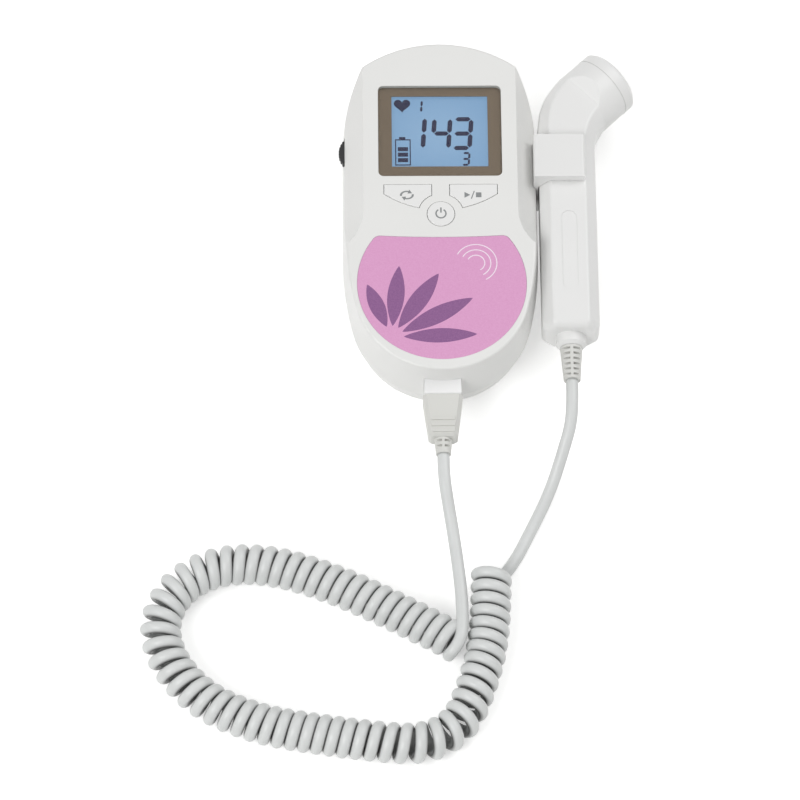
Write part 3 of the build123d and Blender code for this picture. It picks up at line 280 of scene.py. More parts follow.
# ---------------------------------------------------------------- battery bay
# Two AA cells in printed shrink sleeves lie side by side, pointing opposite ways,
# between nickel-plated spring steel plates and coiled springs.
cells_middle_y = -0.0294
band_reach = 0.027             # the bands run this far either way from a cell's middle
sleeve, tree, surface = new_material("printed_shrink_sleeve", Metallic=0.35, Roughness=0.3)
place_of = add(tree, "ShaderNodeTexCoord").outputs["Object"]
split_place = add(tree, "ShaderNodeSeparateXYZ", {0: place_of})
flip = add(tree, "ShaderNodeMath", {0: split_place.outputs["X"]}, operation="SIGN")
turned_y = add(tree, "ShaderNodeMath", {0: split_place.outputs["Y"], 1: -cells_middle_y}, operation="ADD")
turned_y = add(tree, "ShaderNodeMath", {0: turned_y.outputs[0], 1: flip.outputs[0]}, operation="MULTIPLY")
band = add(tree, "ShaderNodeValToRGB", {
    0: add(tree, "ShaderNodeMapRange", {
        "Value": turned_y.outputs[0], "From Min": -band_reach, "From Max": band_reach,
    }).outputs[0],
})
band.color_ramp.interpolation = "CONSTANT"
ramp = band.color_ramp.elements
ramp[0].position, ramp[0].color = 0.0, hex_colour("b9bcc0")
ramp[1].position, ramp[1].color = 0.07, hex_colour("3a4048")
for where, code in ((0.66, "c8cdd2"), (0.69, "4d7f8c"), (0.93, "b9bcc0")):
    stop = ramp.new(where)
    stop.color = hex_colour(code)
wear_and_gap_shade = add(tree, "ShaderNodeTexNoise", {"Vector": place_of, "Scale": 500.0, "Detail": 3.0})
worn_and_gap_shaded = add(tree, "ShaderNodeMix", {
    "Factor": add(tree, "ShaderNodeMapRange", {
        "Value": wear_and_gap_shade.outputs["Fac"], "From Min": 0.55, "From Max": 0.8, "To Max": 0.25,
    }).outputs[0],
    6: band.outputs["Color"], 7: hex_colour("d5d8da"),
}, data_type="RGBA")
tree.links.new(worn_and_gap_shaded.outputs[2], surface.inputs["Base Color"])
finish_node(["battery_cells"], sleeve)

nickel_plate = plated_metal("nickel_plated_spring_steel", "b9b4a8", "dcd8ce", 0.24, scale=900.0)
finish_node(["battery_springs", "battery_contacts"], nickel_plate)


# ---------------------------------------------------------------- speaker
# A small loudspeaker faces the slots in the back: pressed steel basket painted black,
# a felted paper cone and a ferrite magnet.
basket_paint = plated_metal("black_lacquered_steel", "141416", "26262a", 0.42, scale=600.0)
basket_paint.node_tree.nodes["Principled BSDF"].inputs["Metallic"].default_value = 0.2
finish_node(["speaker_frame"], basket_paint)

paper, tree, surface = new_material("felted_paper_cone", Roughness=0.95)
place_of = add(tree, "ShaderNodeTexCoord").outputs["Object"]
fibre = add(tree, "ShaderNodeTexNoise", {
    "Vector": place_of, "Scale": 1800.0, "Detail": 6.0, "Roughness": 0.7,
})
base_colour(tree, surface, fibre.outputs["Fac"], hex_colour("2a2826"), hex_colour("47433f"))
fine_relief(tree, surface, fibre.outputs["Fac"], 0.6, 0.0001)
finish_node(["speaker_cone"], paper)

ferrite, tree, surface = new_material("ground_ferrite", Roughness=0.55, Metallic=0.3)
place_of = add(tree, "ShaderNodeTexCoord").outputs["Object"]
grit = add(tree, "ShaderNodeTexNoise", {"Vector": place_of, "Scale": 2200.0, "Detail": 4.0})
base_colour(tree, surface, grit.outputs["Fac"], hex_colour("2b2c2f"), hex_colour("4b4c50"))
finish_node(["speaker_magnet"], ferrite)


# ---------------------------------------------------------------- circuit board
# Glass-fibre board under green solder mask, clamped between the screw bosses. It
# carries moulded chips, three key switches, the volume control and the headphone jack.
track_pitch = 0.0013
board_mask, tree, surface = new_material("green_solder_mask", Roughness=0.35, Coat_Weight=0.3)
place_of = add(tree, "ShaderNodeTexCoord").outputs["Object"]
bricks = add(tree, "ShaderNodeTexBrick", {
    "Vector": place_of, "Scale": 1.0 / (6 * track_pitch), "Mortar Size": 0.03,
    "Color1": hex_colour("1f6b3c"), "Color2": hex_colour("236f41"), "Mortar": hex_colour("3b8a55"),
})
weave = add(tree, "ShaderNodeTexNoise", {"Vector": place_of, "Scale": 1500.0, "Detail": 2.0})
base_colour(tree, surface, weave.outputs["Fac"], bricks.outputs["Color"], hex_colour("1c5f36"))
fine_relief(tree, surface, bricks.outputs["Fac"], 0.4, 0.00004)
finish_node(["main_board", "probe_board"], board_mask)


def fine_grained(name, dark, light, roughness, scale):
    """Matt moulding or print in one tone, with a fine even grain of the given scale."""
    material, tree, surface = new_material(name, Roughness=roughness)
    place_of = add(tree, "ShaderNodeTexCoord").outputs["Object"]
    grain = add(tree, "ShaderNodeTexNoise", {"Vector": place_of, "Scale": scale, "Detail": 3.0})
    base_colour(tree, surface, grain.outputs["Fac"], hex_colour(dark), hex_colour(light))
    fine_relief(tree, surface, grain.outputs["Fac"], 0.3, 0.00004)
    return material


chip_epoxy = fine_grained("filled_epoxy_chip", "151517", "202124", 0.55, 2400.0)
finish_node(["circuit_chips", "volume_control"], chip_epoxy)
switch_nylon = fine_grained("nylon_switch_body", "1b1b1e", "2c2c30", 0.45, 1600.0)
finish_node(["key_switches"], switch_nylon)
jack_nylon = fine_grained("nylon_jack_body", "131315", "1e1e21", 0.4, 1500.0)
finish_node(["headphone_jack"], jack_nylon)

# The thumbwheel is black acetal with a toothed rim, which the thumb turns.
acetal = fine_grained("black_acetal_wheel", "0e0e10", "18181b", 0.36, 1100.0)
finish_node(["volume_wheel"], acetal)


# ---------------------------------------------------------------- display
# A segment display: glass with dark segments over an edge-lit blue backlight in a white
# frame, behind a clear acrylic window whose border is printed a metallic brown.
lit_low = np.array([-0.0177, 0.01625])
lit_high = np.array([0.0177, 0.04575])
lit_middle = (lit_low + lit_high) / 2
fade_reach = (0.026, 0.021)    # the field has faded to its edge tone this far from the middle

light_guide, tree, surface = new_material("edge_lit_acrylic", Roughness=0.4)
place_of = add(tree, "ShaderNodeTexCoord").outputs["Object"]
dots = add(tree, "ShaderNodeTexVoronoi", {"Vector": place_of, "Scale": 1200.0})
base_colour(tree, surface, dots.outputs["Distance"], hex_colour("cfe2fa"), hex_colour("eef5ff"))
finish_node(["lcd_backlight"], light_guide)
finish_node(["lcd_holder"], moulded_white("white_styrene_frame", "e2e3e3", "ececec", 0.5))

# backlit glass: a blue field that glows by itself, a little different in tone at its middle
lcd_glass, tree, surface = new_material("backlit_display_glass", Roughness=0.22, IOR=1.5)
place_of = add(tree, "ShaderNodeTexCoord").outputs["Object"]
centred = add(tree, "ShaderNodeMapping", {
    "Vector": place_of,
    "Location": (-lit_middle[0] / fade_reach[0], -lit_middle[1] / fade_reach[1], 0.0),
    "Scale": (1 / fade_reach[0], 1 / fade_reach[1], 0.0),
})
spread = add(tree, "ShaderNodeVectorMath", {0: centred.outputs["Vector"]}, operation="LENGTH")
fade = add(tree, "ShaderNodeMapRange", {"Value": spread.outputs["Value"], "From Max": 1.0},
           interpolation_type="SMOOTHSTEP")
cells = add(tree, "ShaderNodeTexNoise", {"Vector": place_of, "Scale": 900.0, "Detail": 2.0})
blue = add(tree, "ShaderNodeMix", {
    "Factor": fade.outputs[0], 6: hex_colour("9bc2e8"), 7: hex_colour("88b4de"),
}, data_type="RGBA")
blue = add(tree, "ShaderNodeMix", {
    "Factor": add(tree, "ShaderNodeMapRange", {"Value": cells.outputs["Fac"], "To Max": 0.08}).outputs[0],
    6: blue.outputs[2], 7: hex_colour("5583bb"),
}, data_type="RGBA")
base_colour(tree, surface, 0.75, blue.outputs[2], hex_colour("20304a"))
tree.links.new(blue.outputs[2], surface.inputs["Emission Color"])
surface.inputs["Emission Strength"].default_value = 0.60
finish_node(["lcd_glass"], lcd_glass)

# printed border: bronze-brown metallic ink behind the acrylic
bezel_ink = plated_metal("bronze_metallic_ink", "72614f", "806e5d", 0.42, scale=1500.0)
bezel_ink.node_tree.nodes["Principled BSDF"].inputs["Metallic"].default_value = 0.75
finish_node(["display_mask"], bezel_ink)

# clear acrylic: see-through, with the sharp reflections of its polished face, which grow
# from 4 % straight on to all at a grazing look, as Schlick's formula has it
window = bpy.data.materials.new("polished_clear_acrylic")
window.use_nodes = True
tree = window.node_tree
tree.nodes.clear()
place_of = add(tree, "ShaderNodeTexCoord").outputs["Object"]
haze = add(tree, "ShaderNodeTexNoise", {"Vector": place_of, "Scale": 300.0, "Detail": 3.0})
gloss_of = add(tree, "ShaderNodeMapRange", {"Value": haze.outputs["Fac"], "To Min": 0.01, "To Max": 0.06})
shine = add(tree, "ShaderNodeBsdfGlossy", {"Roughness": gloss_of.outputs[0]})
clear = add(tree, "ShaderNodeBsdfTransparent", {"Color": hex_colour("f6f8f8")})
tilt = add(tree, "ShaderNodeLayerWeight", {"Blend": 0.5})
steep = add(tree, "ShaderNodeMath", {0: tilt.outputs["Facing"], 1: 5.0}, operation="POWER")
mirror_share = add(tree, "ShaderNodeMapRange", {"Value": steep.outputs[0], "To Min": 0.04, "To Max": 1.0})
mixed = add(tree, "ShaderNodeMixShader", {
    0: mirror_share.outputs[0], 1: clear.outputs[0], 2: shine.outputs[0],
})
add(tree, "ShaderNodeOutputMaterial", {"Surface": mixed.outputs[0]})
finish_node(["display_window"], window)

# dark segments of the glass: each is a thin flat shape just over it
segment_low_z = 0.03141
segment_high_z = 0.03152


def plate_between(outline, low_z, high_z):
    """Points of a plate's wall: its outline at two heights, as a grid for grid_mesh with caps."""
    flat = np.asarray(outline, float)
    rows = [np.column_stack([flat, np.full(len(flat), z)]) for z in (low_z, high_z)]
    return np.stack(rows)


def join_meshes(name, meshes):
    """All the meshes' vertices and faces in one mesh, in the order given."""
    points, faces, start = [], [], 0
    for mesh in meshes:
        co = np.empty(len(mesh.vertices) * 3)
        mesh.vertices.foreach_get("co", co)
        points.append(co.reshape(-1, 3))
        faces += [[start + corner for corner in face.vertices] for face in mesh.polygons]
        start += len(mesh.vertices)
        bpy.data.meshes.remove(mesh)
    whole = bpy.data.meshes.new(name)
    whole.from_pydata(np.vstack(points), [], faces)
    whole.update()
    return whole


def counter_clockwise(outline):
    """The outline in the order that faces its cap upwards: by the sign of its area."""
    x, y = np.asarray(outline, float).T
    area = np.sum(x * np.roll(y, -1) - np.roll(x, -1) * y)
    return outline if area > 0 else outline[::-1]


def flat_plates(name, outlines, low_z, high_z):
    """One mesh of thin plates, from closed outlines in metres."""
    plates = [
        grid_mesh(name, plate_between(counter_clockwise(outline), low_z, high_z), closed_v=True, caps=True)
        for outline in outlines
    ]
    return join_meshes(name, plates)


segments_lit = {1: "bc", 3: "abgcd", 4: "fgbc"}
stroke_gap = 0.14              # of a stroke's width, left free at each end


def digit(number, low, high, stroke, slant):
    """Outlines of a seven-segment figure between two corners.

    Each stroke is a long hexagon between two of the figure's six corners, drawn in by a
    small gap, and every point is leant over by slant x its height above the base.
    """
    x0, y0 = low[0] + stroke / 2, low[1] + stroke / 2
    x1, y1 = high[0] - stroke / 2, high[1] - stroke / 2
    ym = (y0 + y1) / 2
    ends = {
        "a": ((x0, y1), (x1, y1)), "b": ((x1, ym), (x1, y1)), "c": ((x1, y0), (x1, ym)),
        "d": ((x0, y0), (x1, y0)), "e": ((x0, y0), (x0, ym)), "f": ((x0, ym), (x0, y1)),
        "g": ((x0, ym), (x1, ym)),
    }
    outlines = []
    for key in segments_lit[number]:
        start, end = (np.array(point) for point in ends[key])
        along = (end - start) / np.linalg.norm(end - start)
        across = np.array([-along[1], along[0]]) * stroke / 2
        start, end = start + along * stroke * stroke_gap, end - along * stroke * stroke_gap
        inner = along * stroke / 2
        outline = np.array([
            start, start + inner - across, end - inner - across,
            end, end - inner + across, start + inner + across,
        ])
        outline[:, 0] += slant * (outline[:, 1] - low[1])
        outlines.append(outline)
    return outlines


def arc_points(centre, radius, first, last, count):
    """Points of an arc between two angles in degrees."""
    angle = np.radians(np.linspace(first, last, count))
    return np.array(centre) + radius * np.stack([np.cos(angle), np.sin(angle)], axis=1)


def bar(low, high):
    """Outline of an upright rectangle."""
    return np.array([low, (high[0], low[1]), high, (low[0], high[1])])


def ring_band(centre, inner, outer, first, last, count):
    """Outline of a ring's piece between two angles."""
    return np.vstack([
        arc_points(centre, outer, first, last, count), arc_points(centre, inner, last, first, count),
    ])


def heart(centre, width):
    """Outline of a heart: x = 16 sin^3 t, y = 13 cos t - 5 cos 2t - 2 cos 3t - cos 4t, scaled."""
    t = np.linspace(0.0, 2 * math.pi, 49)[:-1]
    x = 16 * np.sin(t) ** 3
    y = 13 * np.cos(t) - 5 * np.cos(2 * t) - 2 * np.cos(3 * t) - np.cos(4 * t)
    return np.array(centre) + np.stack([x, y + 2.5], axis=1) * width / 32


big_stroke = 0.0017
small_stroke = 0.0008
lean = 0.07
figure_outlines = []
figure_outlines += digit(1, (-0.0115, 0.0237), (-0.0055, 0.0380), big_stroke, lean)
figure_outlines += digit(4, (-0.0036, 0.0236), (0.0039, 0.0377), big_stroke, lean)
figure_outlines += digit(3, (0.0039, 0.0237), (0.0117, 0.0375), big_stroke, lean)
figure_outlines += digit(1, (-0.0094, 0.0394), (-0.0064, 0.0449), small_stroke, lean)
figure_outlines += digit(3, (0.0078, 0.0171), (0.0109, 0.0228), small_stroke, lean)
figure_outlines.append(heart((-0.0138, 0.0422), 0.0061))
battery_low, battery_high = np.array([-0.0165, 0.0173]), np.array([-0.01075, 0.02825])
line_width = 0.0004
figure_outlines += [
    bar(battery_low, (battery_low[0] + line_width, battery_high[1])),
    bar((battery_high[0] - line_width, battery_low[1]), battery_high),
    bar(battery_low, (battery_high[0], battery_low[1] + line_width)),
    bar((battery_low[0], battery_high[1] - line_width), battery_high),
    bar((-0.0150, 0.02825), (-0.0127, 0.0292)),
]
level_inset, level_height = 0.0010, 0.00165
for count in range(3):
    low_y = battery_low[1] + 0.0014 + count * 0.0023
    level_low, level_high = battery_low[0] + level_inset, battery_high[0] - level_inset
    figure_outlines.append(bar((level_low, low_y), (level_high, low_y + level_height)))

segment_dye, tree, surface = new_material("liquid_crystal_segment", Roughness=0.5)
place_of = add(tree, "ShaderNodeTexCoord").outputs["Object"]
cloud = add(tree, "ShaderNodeTexNoise", {"Vector": place_of, "Scale": 1200.0, "Detail": 2.0})
base_colour(tree, surface, cloud.outputs["Fac"], hex_colour("0e0e2c"), hex_colour("14143a"))
surface.inputs["Emission Color"].default_value = hex_colour("26268c")
surface.inputs["Emission Strength"].default_value = 0.08
surface.inputs["Specular IOR Level"].default_value = 0.0
display_figures = new_piece(
    "display_figures", flat_plates("display_figures", figure_outlines, segment_low_z, segment_high_z),
    segment_dye, smooth=False,
)
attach(display_figures, "unit")


# ---------------------------------------------------------------- buttons
# White ABS keys that stand a little proud of the face. Their signs are pad-printed grey.
button_abs = moulded_white("white_abs_button", "e8e8e7", "ebebea", 0.33)
finish_node(["button_mode", "button_start_stop", "button_power"], button_abs)

button_top_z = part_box("button_power")[1][2]
sign_low_z, sign_high_z = button_top_z - 0.00003, button_top_z + 0.00004
sign_ink = fine_grained("grey_pad_print", "7f8283", "8d9091", 0.5, 1500.0)
key_sign_y = 0.0034
arrow_span, arrow_head = 118.0, 46.0    # degrees


def cycle_arrow(first, radius, stroke):
    """Half of a round cycle sign: a clockwise arc that ends in an arrow head."""
    centre = (0.0, 0.0)
    last = first - arrow_span
    outer = arc_points(centre, radius + stroke / 2, first, last, 17)
    inner = arc_points(centre, radius - stroke / 2, last, first, 17)
    wide = arc_points(centre, radius + 1.6 * stroke, last, last, 1)
    tip = arc_points(centre, radius, last - arrow_head, last - arrow_head, 1)
    narrow = arc_points(centre, radius - 1.6 * stroke, last, last, 1)
    return np.vstack([outer, wide, tip, narrow, inner])


mode_centre = np.array([-0.0124, key_sign_y])
start_centre = (0.0115, key_sign_y)
mode_outlines = [
    mode_centre + cycle_arrow(first, 0.0016, 0.00055) * (1.35, 0.95) for first in (192.0, 12.0)
]
x, y = start_centre
start_outlines = [
    np.array([(x - 0.0028, y - 0.0012), (x - 0.0007, y), (x - 0.0028, y + 0.0012)]),
    np.array([
        (x - 0.0005, y - 0.0016), (x - 0.0001, y - 0.0016),
        (x + 0.0010, y + 0.0016), (x + 0.0006, y + 0.0016),
    ]),
    bar((x + 0.0014, y - 0.0010), (x + 0.0034, y + 0.0010)),
]
power_centre = (0.0, -0.0043)
power_stroke = 0.00027         # half the upright line's width
power_outlines = [
    ring_band(power_centre, 0.00155, 0.00208, 122.0, 418.0, 33),
    bar((power_centre[0] - power_stroke, power_centre[1] + 0.0004),
        (power_centre[0] + power_stroke, power_centre[1] + 0.0025)),
]
for name, outlines, body in (
    ("mode_sign", mode_outlines, "mode_button"),
    ("start_stop_sign", start_outlines, "start_stop_button"),
    ("power_sign", power_outlines, "power_button"),
):
    sign = new_piece(name, flat_plates(name, outlines, sign_low_z, sign_high_z), sign_ink, smooth=False)
    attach(sign, body)


# ---------------------------------------------------------------- label
# A printed polyester film with a fine texture, stuck in its own shallow recess. It has
# a pink field, five purple petals and pale rings like those of a sound wave.
label_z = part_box("label_overlay")[1][2]
print_low_z, print_high_z = label_z - 0.00002, label_z + 0.00002


def printed_film(name, dark, light):
    """Matt printed film: one ink colour with the fine even texture of the film."""
    material, tree, surface = new_material(name, Roughness=0.45, IOR=1.5)
    place_of = add(tree, "ShaderNodeTexCoord").outputs["Object"]
    speck = add(tree, "ShaderNodeTexNoise", {
        "Vector": place_of, "Scale": 2000.0, "Detail": 2.0, "Roughness": 0.6,
    })
    share = add(tree, "ShaderNodeMapRange", {"Value": speck.outputs["Fac"], "From Min": 0.3, "From Max": 0.7})
    base_colour(tree, surface, share.outputs[0], hex_colour(dark), hex_colour(light))
    fine_relief(tree, surface, speck.outputs["Fac"], 0.2, 0.00003)
    return material


pink_film = printed_film("pink_printed_film", "d898c4", "dfa4cd")
finish_node(["label_overlay"], pink_film)

label_centre = np.array([0.0, -0.0327])
label_print_radius = 0.0296


def petal(base, tip, width):
    """Leaf between two points: width x sin(pi t)^0.8 either side of the line at t along it."""
    base, tip = np.array(base), np.array(tip)
    t = np.linspace(0.0, 1.0, 40)
    line = tip - base
    across = np.array([-line[1], line[0]]) / np.linalg.norm(line)
    swell = width / 2 * np.sin(math.pi * t) ** 0.8
    one = base + t[:, None] * line + swell[:, None] * across
    other = base + t[:, None] * line - swell[:, None] * across
    return np.vstack([one, other[-2:0:-1]])


def within_label(outline):
    """Outline with every point pulled in to the label's printed round."""
    away = outline - label_centre
    far = np.linalg.norm(away, axis=1)
    pull = np.minimum(1.0, label_print_radius / np.maximum(far, 1e-9))
    return label_centre + away * pull[:, None]


petal_base = (-0.0185, -0.0545)
petal_start = 0.0045
petals = []
for angle, length, width in (
    (112.0, 0.023, 0.0056), (84.0, 0.029, 0.0062), (56.0, 0.031, 0.0066),
    (28.0, 0.0335, 0.0066), (2.0, 0.031, 0.0058),
):
    foot, tip = (arc_points(petal_base, away, angle, angle, 1)[0] for away in (petal_start, length))
    petals.append(within_label(petal(foot, tip, width)))
purple_film = printed_film("purple_printed_film", "805084", "8f5e91")
label_petals = new_piece(
    "label_petals", flat_plates("label_petals", petals, print_low_z, print_high_z), purple_film, smooth=False)
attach(label_petals, "unit")

ring_centre = (0.0125, -0.0245)
rings = [
    ring_band(ring_centre, radius, radius + 0.00038, -62.0, 152.0, 60) for radius in (0.0030, 0.0052, 0.0074)
]
pale_film = printed_film("pale_printed_film", "eeddea", "f6eaf3")
label_rings = new_piece(
    "label_rings", flat_plates("label_rings", rings, print_low_z, print_high_z), pale_film, smooth=False)
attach(label_rings, "unit")


# ---------------------------------------------------------------- socket and plug
# The probe's socket is a white ABS block with four brass pins. Its plug is moulded in
# grey-white PVC on the cable, with finger ribs and a slotted strain relief.
finish_node(["probe_socket"], moulded_white("white_abs_socket", "f0f0f0", "f5f5f5", 0.33))
gold_flash = plated_metal("gold_flashed_brass", "b08d45", "d6b56a", 0.25, scale=1200.0)
finish_node(["socket_pins", "plug_contacts"], gold_flash)
plug_pvc = moulded_white("moulded_pvc_plug", "d3d3ce", "d9d9d5", 0.42)
finish_node(["plug_body", "plug_boot"], plug_pvc)


# ---------------------------------------------------------------- probe
# Two white ABS shells meet along the middle of the handle. The head's cap holds the
# acoustic lens, the split crystal with its backing and a seal ring.
probe_abs = moulded_white("polished_white_abs_probe", "e6e6e5", "ebebea", 0.34)
finish_node(["probe_shell_front", "probe_shell_rear", "probe_cap"], probe_abs)
finish_node(["probe_boot"], moulded_white("moulded_pvc_boot", "d3d3cf", "dadad7", 0.45))

# the joint between cap and shells shows as a fine grey line round the drum
joint_centre = np.array([0.060955, 0.055976, 0.0202])
joint_axis = np.array([0.719340, 0.694658, 0.0])
joint_radius, joint_line = 0.01256, 0.00013


def thin_ring(name, centre, axis, radius, line):
    """Torus about a level axis: radius + line cos b out from it, line sin b along it."""
    level_side = np.array([-axis[1], axis[0], 0.0])
    around = np.linspace(0.0, 2 * math.pi, 97)[:-1, None, None]
    across = np.linspace(0.0, 2 * math.pi, 9)[None, :-1, None]
    out = np.cos(around) * level_side + np.sin(around) * np.array([0.0, 0.0, 1.0])
    points = centre + (radius + line * np.cos(across)) * out + line * np.sin(across) * axis
    return grid_mesh(name, points, closed_u=True, closed_v=True)


joint_grime = fine_grained("grey_joint_line", "bdbebb", "cdcecb", 0.6, 1500.0)
joint_mesh = thin_ring("probe_cap_joint", joint_centre, joint_axis, joint_radius, joint_line)
probe_joint = new_piece("probe_cap_joint", joint_mesh, joint_grime)
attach(probe_joint, "probe")
lens_resin = moulded_white("cast_silicone_lens", "c4c7c6", "d0d2d1", 0.35)
finish_node(["acoustic_lens"], lens_resin)
fired_ceramic = moulded_white("silvered_fired_ceramic", "cdc8bb", "dedacf", 0.4)
finish_node(["crystal_halves"], fired_ceramic)
backing_epoxy = fine_grained("loaded_backing_epoxy", "1d1d1f", "2d2d30", 0.6, 1800.0)
finish_node(["crystal_backing"], backing_epoxy)
seal_rubber = fine_grained("nitrile_rubber_ring", "121212", "1c1c1c", 0.65, 1500.0)
finish_node(["probe_seal"], seal_rubber)


# ---------------------------------------------------------------- curly cord
# One round PVC-sheathed cable joins the plug to the probe. Its middle is wound hot on a
# mandrel, so it springs back into touching turns; both ends stay straight leads.
cord_diameter = 0.0045
coil_radius = 0.0052          # of the cord's centre line about the coil's axis
# stretch of the turns: distance along the coil's axis and pitch there, millimetres
pitch_stations = [
    (0, 4.62), (75, 4.75), (85, 4.9), (100, 5.3), (117, 5.7), (133, 5.6), (150, 5.2), (165, 5.0),
    (180, 4.65), (200, 4.55), (212, 4.6), (222, 5.1), (240, 5.9), (250, 6.2), (262, 5.6), (272, 5.1),
    (282, 4.7), (300, 4.8), (314, 4.9),
]
first_turn_angle = 60.0       # degrees from the top, where the plug's lead runs in
last_turn_angle = 204.0       # degrees, where the probe's lead runs out
run_in = 0.006                # length over which a lead turns into the helix
ring_sides = 20
rings_per_turn = 34
lead_step, axis_step = 0.0011, 0.0004
gap_shade_run_in = 20.0             # rings over which the painted shade of the touching sides sets in

# route points of the leads and of the coil's axis, millimetres
plug_lead_route = [
    (0.0, -95.2, 20.3), (0.0, -103.0, 20.3), (1.3, -111.9, 17.8), (2.6, -119.5, 15.3),
    (3.8, -127.2, 13.3), (4.9, -135.7, 12.0), (5.8, -144.5, 11.6), (6.2, -152.5, 11.9),
    (6.1, -159.3, 12.5), (5.2, -164.7, 12.6), (3.0, -167.2, 11.2),
]
probe_lead_route = [
    (47.0, -65.6, 20.2), (47.0, -73.4, 20.2), (46.3, -82.2, 17.9), (43.6, -90.2, 13.4),
    (40.9, -97.6, 8.6), (37.9, -104.8, 4.9), (34.3, -111.9, 2.9), (30.9, -118.6, 2.3),
    (27.9, -124.9, 2.3), (24.6, -130.7, 2.3), (21.8, -134.5, 2.3), (19.2, -136.3, 2.3),
]
coil_route = [
    (4.3, -163.0, 7.5), (-18.0, -150.6, 7.5), (-42.1, -138.8, 7.5), (-64.5, -131.9, 7.5),
    (-83.3, -133.0, 7.5), (-97.2, -142.2, 7.5), (-102.6, -157.0, 7.5), (-97.8, -172.2, 7.5),
    (-85.6, -185.6, 7.5), (-66.4, -194.2, 7.5), (-46.8, -197.8, 7.5), (-27.6, -200.6, 7.5),
    (-8.6, -202.4, 7.5), (4.6, -195.6, 7.5), (10.6, -181.4, 7.5), (14.9, -166.2, 7.5),
    (16.5, -150.6, 7.5), (16.9, -135.4, 7.5),
]


def running_length(points):
    """Distance along a line from its first point to each of its points."""
    return np.concatenate([[0.0], np.cumsum(np.linalg.norm(np.diff(points, axis=0), axis=1))])


def smooth_line(route, spacing):
    """Even points along the NURBS curve of order 3 that a route's points control, in metres."""
    curve = bpy.data.curves.new("route", "CURVE")
    curve.dimensions = "3D"
    line = curve.splines.new("NURBS")
    line.points.add(len(route) - 1)
    weighted = np.column_stack([np.array(route) / 1000.0, np.ones(len(route))])
    line.points.foreach_set("co", weighted.ravel())
    line.order_u = 3
    line.use_endpoint_u = True
    line.resolution_u = 40
    holder = bpy.data.objects.new("route", curve)
    mesh = bpy.data.meshes.new_from_object(holder)
    points = np.empty(len(mesh.vertices) * 3)
    mesh.vertices.foreach_get("co", points)
    points = points.reshape(-1, 3)
    bpy.data.objects.remove(holder)
    bpy.data.curves.remove(curve)
    bpy.data.meshes.remove(mesh)
    along = running_length(points)
    wanted = np.linspace(0.0, along[-1], int(round(along[-1] / spacing)) + 1)
    return np.stack([np.interp(wanted, along, points[:, k]) for k in range(3)], axis=1)


def unit_rows(vectors):
    """Each row divided by its length."""
    return vectors / np.linalg.norm(vectors, axis=1, keepdims=True)


def smooth_step(t):
    """Zero to one with level ends: 3t^2 - 2t^3."""
    t = np.clip(t, 0.0, 1.0)
    return t * t * (3.0 - 2.0 * t)


def turns_about(axis_points, first_angle, last_angle):
    """Helix about an axis line, as points and the axis directions beside them.

    The angle from the top grows with the distance along the axis over the pitch there,
    which is wider on the bends, where the turns touch on the inner side only. All are
    then scaled a little so that the last turn ends at its own angle.
    """
    along = running_length(axis_points)
    heading = unit_rows(np.gradient(axis_points, axis=0))
    station, pitch = np.array(pitch_stations).T / 1000.0
    rate = 1.0 / np.interp(along, station, pitch)
    turns = np.concatenate([[0.0], np.cumsum((rate[1:] + rate[:-1]) / 2 * np.diff(along))])
    extra = (last_angle - first_angle) / 360.0
    turns *= (round(turns[-1] - extra) + extra) / turns[-1]
    count = int(turns[-1] * rings_per_turn)
    even = np.linspace(0.0, turns[-1], count)
    where = np.interp(even, turns, along)
    centre = np.stack([np.interp(where, along, axis_points[:, k]) for k in range(3)], axis=1)
    ahead = unit_rows(np.stack([np.interp(where, along, heading[:, k]) for k in range(3)], axis=1))
    side = np.stack([-ahead[:, 1], ahead[:, 0], np.zeros(count)], axis=1)
    angle = np.radians(first_angle) + 2 * math.pi * even
    offset = np.cos(angle)[:, None] * np.array([[0.0, 0.0, 1.0]]) + np.sin(angle)[:, None] * side
    return centre + coil_radius * offset, ahead


def run_together(lead, helix, length):
    """Lead and the start of a helix as one line.

    Over the given length the lead's straight continuation fades into the helix, each
    weighted by a smooth step of the distance.
    """
    along = running_length(helix)
    weight = smooth_step(along / length)[:, None]
    direction = lead[-1] - lead[-2]
    direction = direction / np.linalg.norm(direction)
    mixed = (1.0 - weight) * (lead[-1] + along[:, None] * direction) + weight * helix
    return np.vstack([lead[:-1], mixed])


def tube(name, path, reference, radius, sides, coiled):
    """Round tube about a path.

    Each ring lies across the path: radius x (cos a x side + sin a x rise), where side is
    the path's direction crossed with the reference direction, and rise the third way.
    A point attribute holds the painted shade of the coil's gaps: coiled x the greater of
    |sin a|^12, which peaks where a turn touches the next, and 0.3 on the coil's inner side.
    """
    ahead = unit_rows(np.gradient(path, axis=0))
    side = unit_rows(np.cross(ahead, reference))
    rise = np.cross(side, ahead)
    angle = np.linspace(0.0, 2 * math.pi, sides, endpoint=False)
    ring = np.cos(angle)[None, :, None] * side[:, None] + np.sin(angle)[None, :, None] * rise[:, None]
    points = path[:, None] + radius * ring
    mesh = grid_mesh(name, points, closed_v=True, caps=True)
    wear_and_gap_shade = mesh.attributes.new("wear_and_gap_shade", "FLOAT", "POINT")
    # painted shade: darkest where a turn touches the next, 0.3 of that on the coil's inner side
    worn_and_gap_shaded = np.maximum(np.abs(np.sin(angle)) ** 12, 0.3 * (np.cos(angle) > 0.2))
    wear_and_gap_shade.data.foreach_set("value", (np.asarray(coiled)[:, None] * worn_and_gap_shaded).ravel())
    return mesh


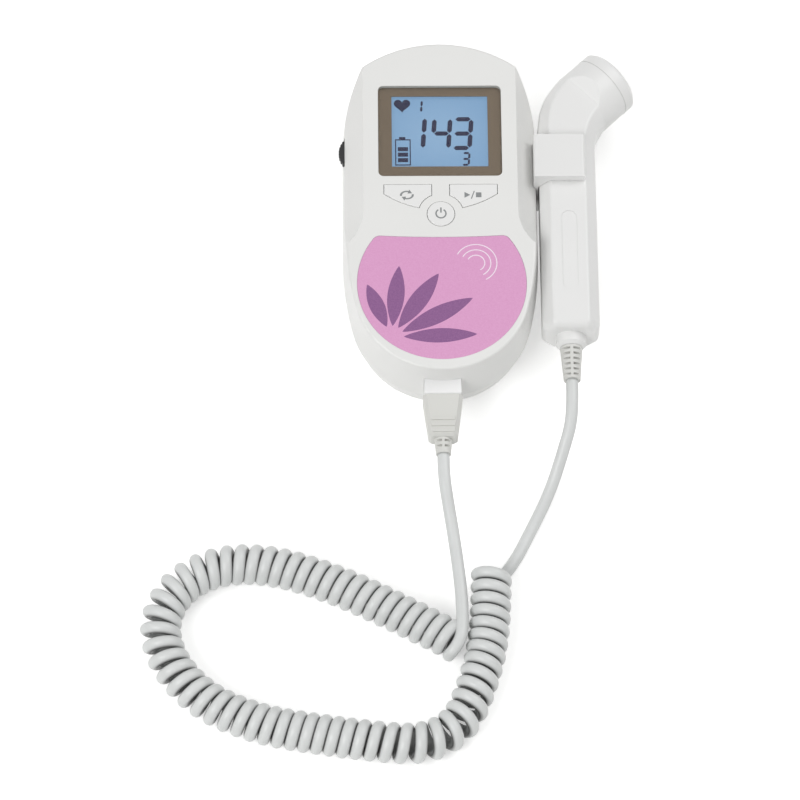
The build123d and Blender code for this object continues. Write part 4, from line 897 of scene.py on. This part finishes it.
plug_lead = smooth_line(plug_lead_route, lead_step)
probe_lead = smooth_line(probe_lead_route, lead_step)
coil_axis = smooth_line(coil_route, axis_step)
helix, turn_heading = turns_about(coil_axis, first_turn_angle, last_turn_angle)
from_end = running_length(helix[::-1])
split = int(np.searchsorted(from_end, run_in))
probe_path = run_together(probe_lead, helix[::-1][:split + 1], run_in)
plug_path = run_together(plug_lead, helix[:len(helix) - split], run_in)
lead_rows = len(plug_lead) - 1
reference = np.vstack([np.repeat(turn_heading[:1], lead_rows, axis=0), turn_heading[:len(helix) - split]])

# flexible PVC sheath, extruded: soft broad shine and faint cloudy grey. Where a turn touches
# the next, and on the coil's inner side, a dark grey painted shade deepens the gaps beyond their own shadow.
cord_pvc, tree, surface = new_material("extruded_pvc_sheath", Roughness=0.36, IOR=1.53)
place_of = add(tree, "ShaderNodeTexCoord").outputs["Object"]
cloud = add(tree, "ShaderNodeTexNoise", {"Vector": place_of, "Scale": 95.0, "Detail": 4.0, "Roughness": 0.6})
tone = add(tree, "ShaderNodeMix", {
    "Factor": cloud.outputs["Fac"], 6: hex_colour("d2d4d3"), 7: hex_colour("dcdedd"),
}, data_type="RGBA")
gap_shade = add(tree, "ShaderNodeAttribute", attribute_name="wear_and_gap_shade")
base_colour(tree, surface, gap_shade.outputs["Fac"], tone.outputs[2], hex_colour("3c3c3b"))
fine = add(tree, "ShaderNodeTexNoise", {"Vector": place_of, "Scale": 2600.0, "Detail": 2.0})
fine_relief(tree, surface, fine.outputs["Fac"], 0.12, 0.00004)

in_coil = np.clip((np.arange(len(plug_path)) - lead_rows) / gap_shade_run_in, 0.0, 1.0)
mesh = tube("cord_to_plug", plug_path, reference, cord_diameter / 2, ring_sides, in_coil)
cord_to_plug = new_piece("cord_to_plug", mesh, cord_pvc)
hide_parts("cord_lead_plug", "cord_coil")
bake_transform(cord_to_plug)

up_reference = np.array([[0.0, 0.0, 1.0]])
mesh = tube(
    "cord_to_probe", probe_path, up_reference, cord_diameter / 2, ring_sides, np.zeros(len(probe_path)))
cord_to_probe = new_piece("cord_to_probe", mesh, cord_pvc)
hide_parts("cord_lead_probe")
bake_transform(cord_to_probe)
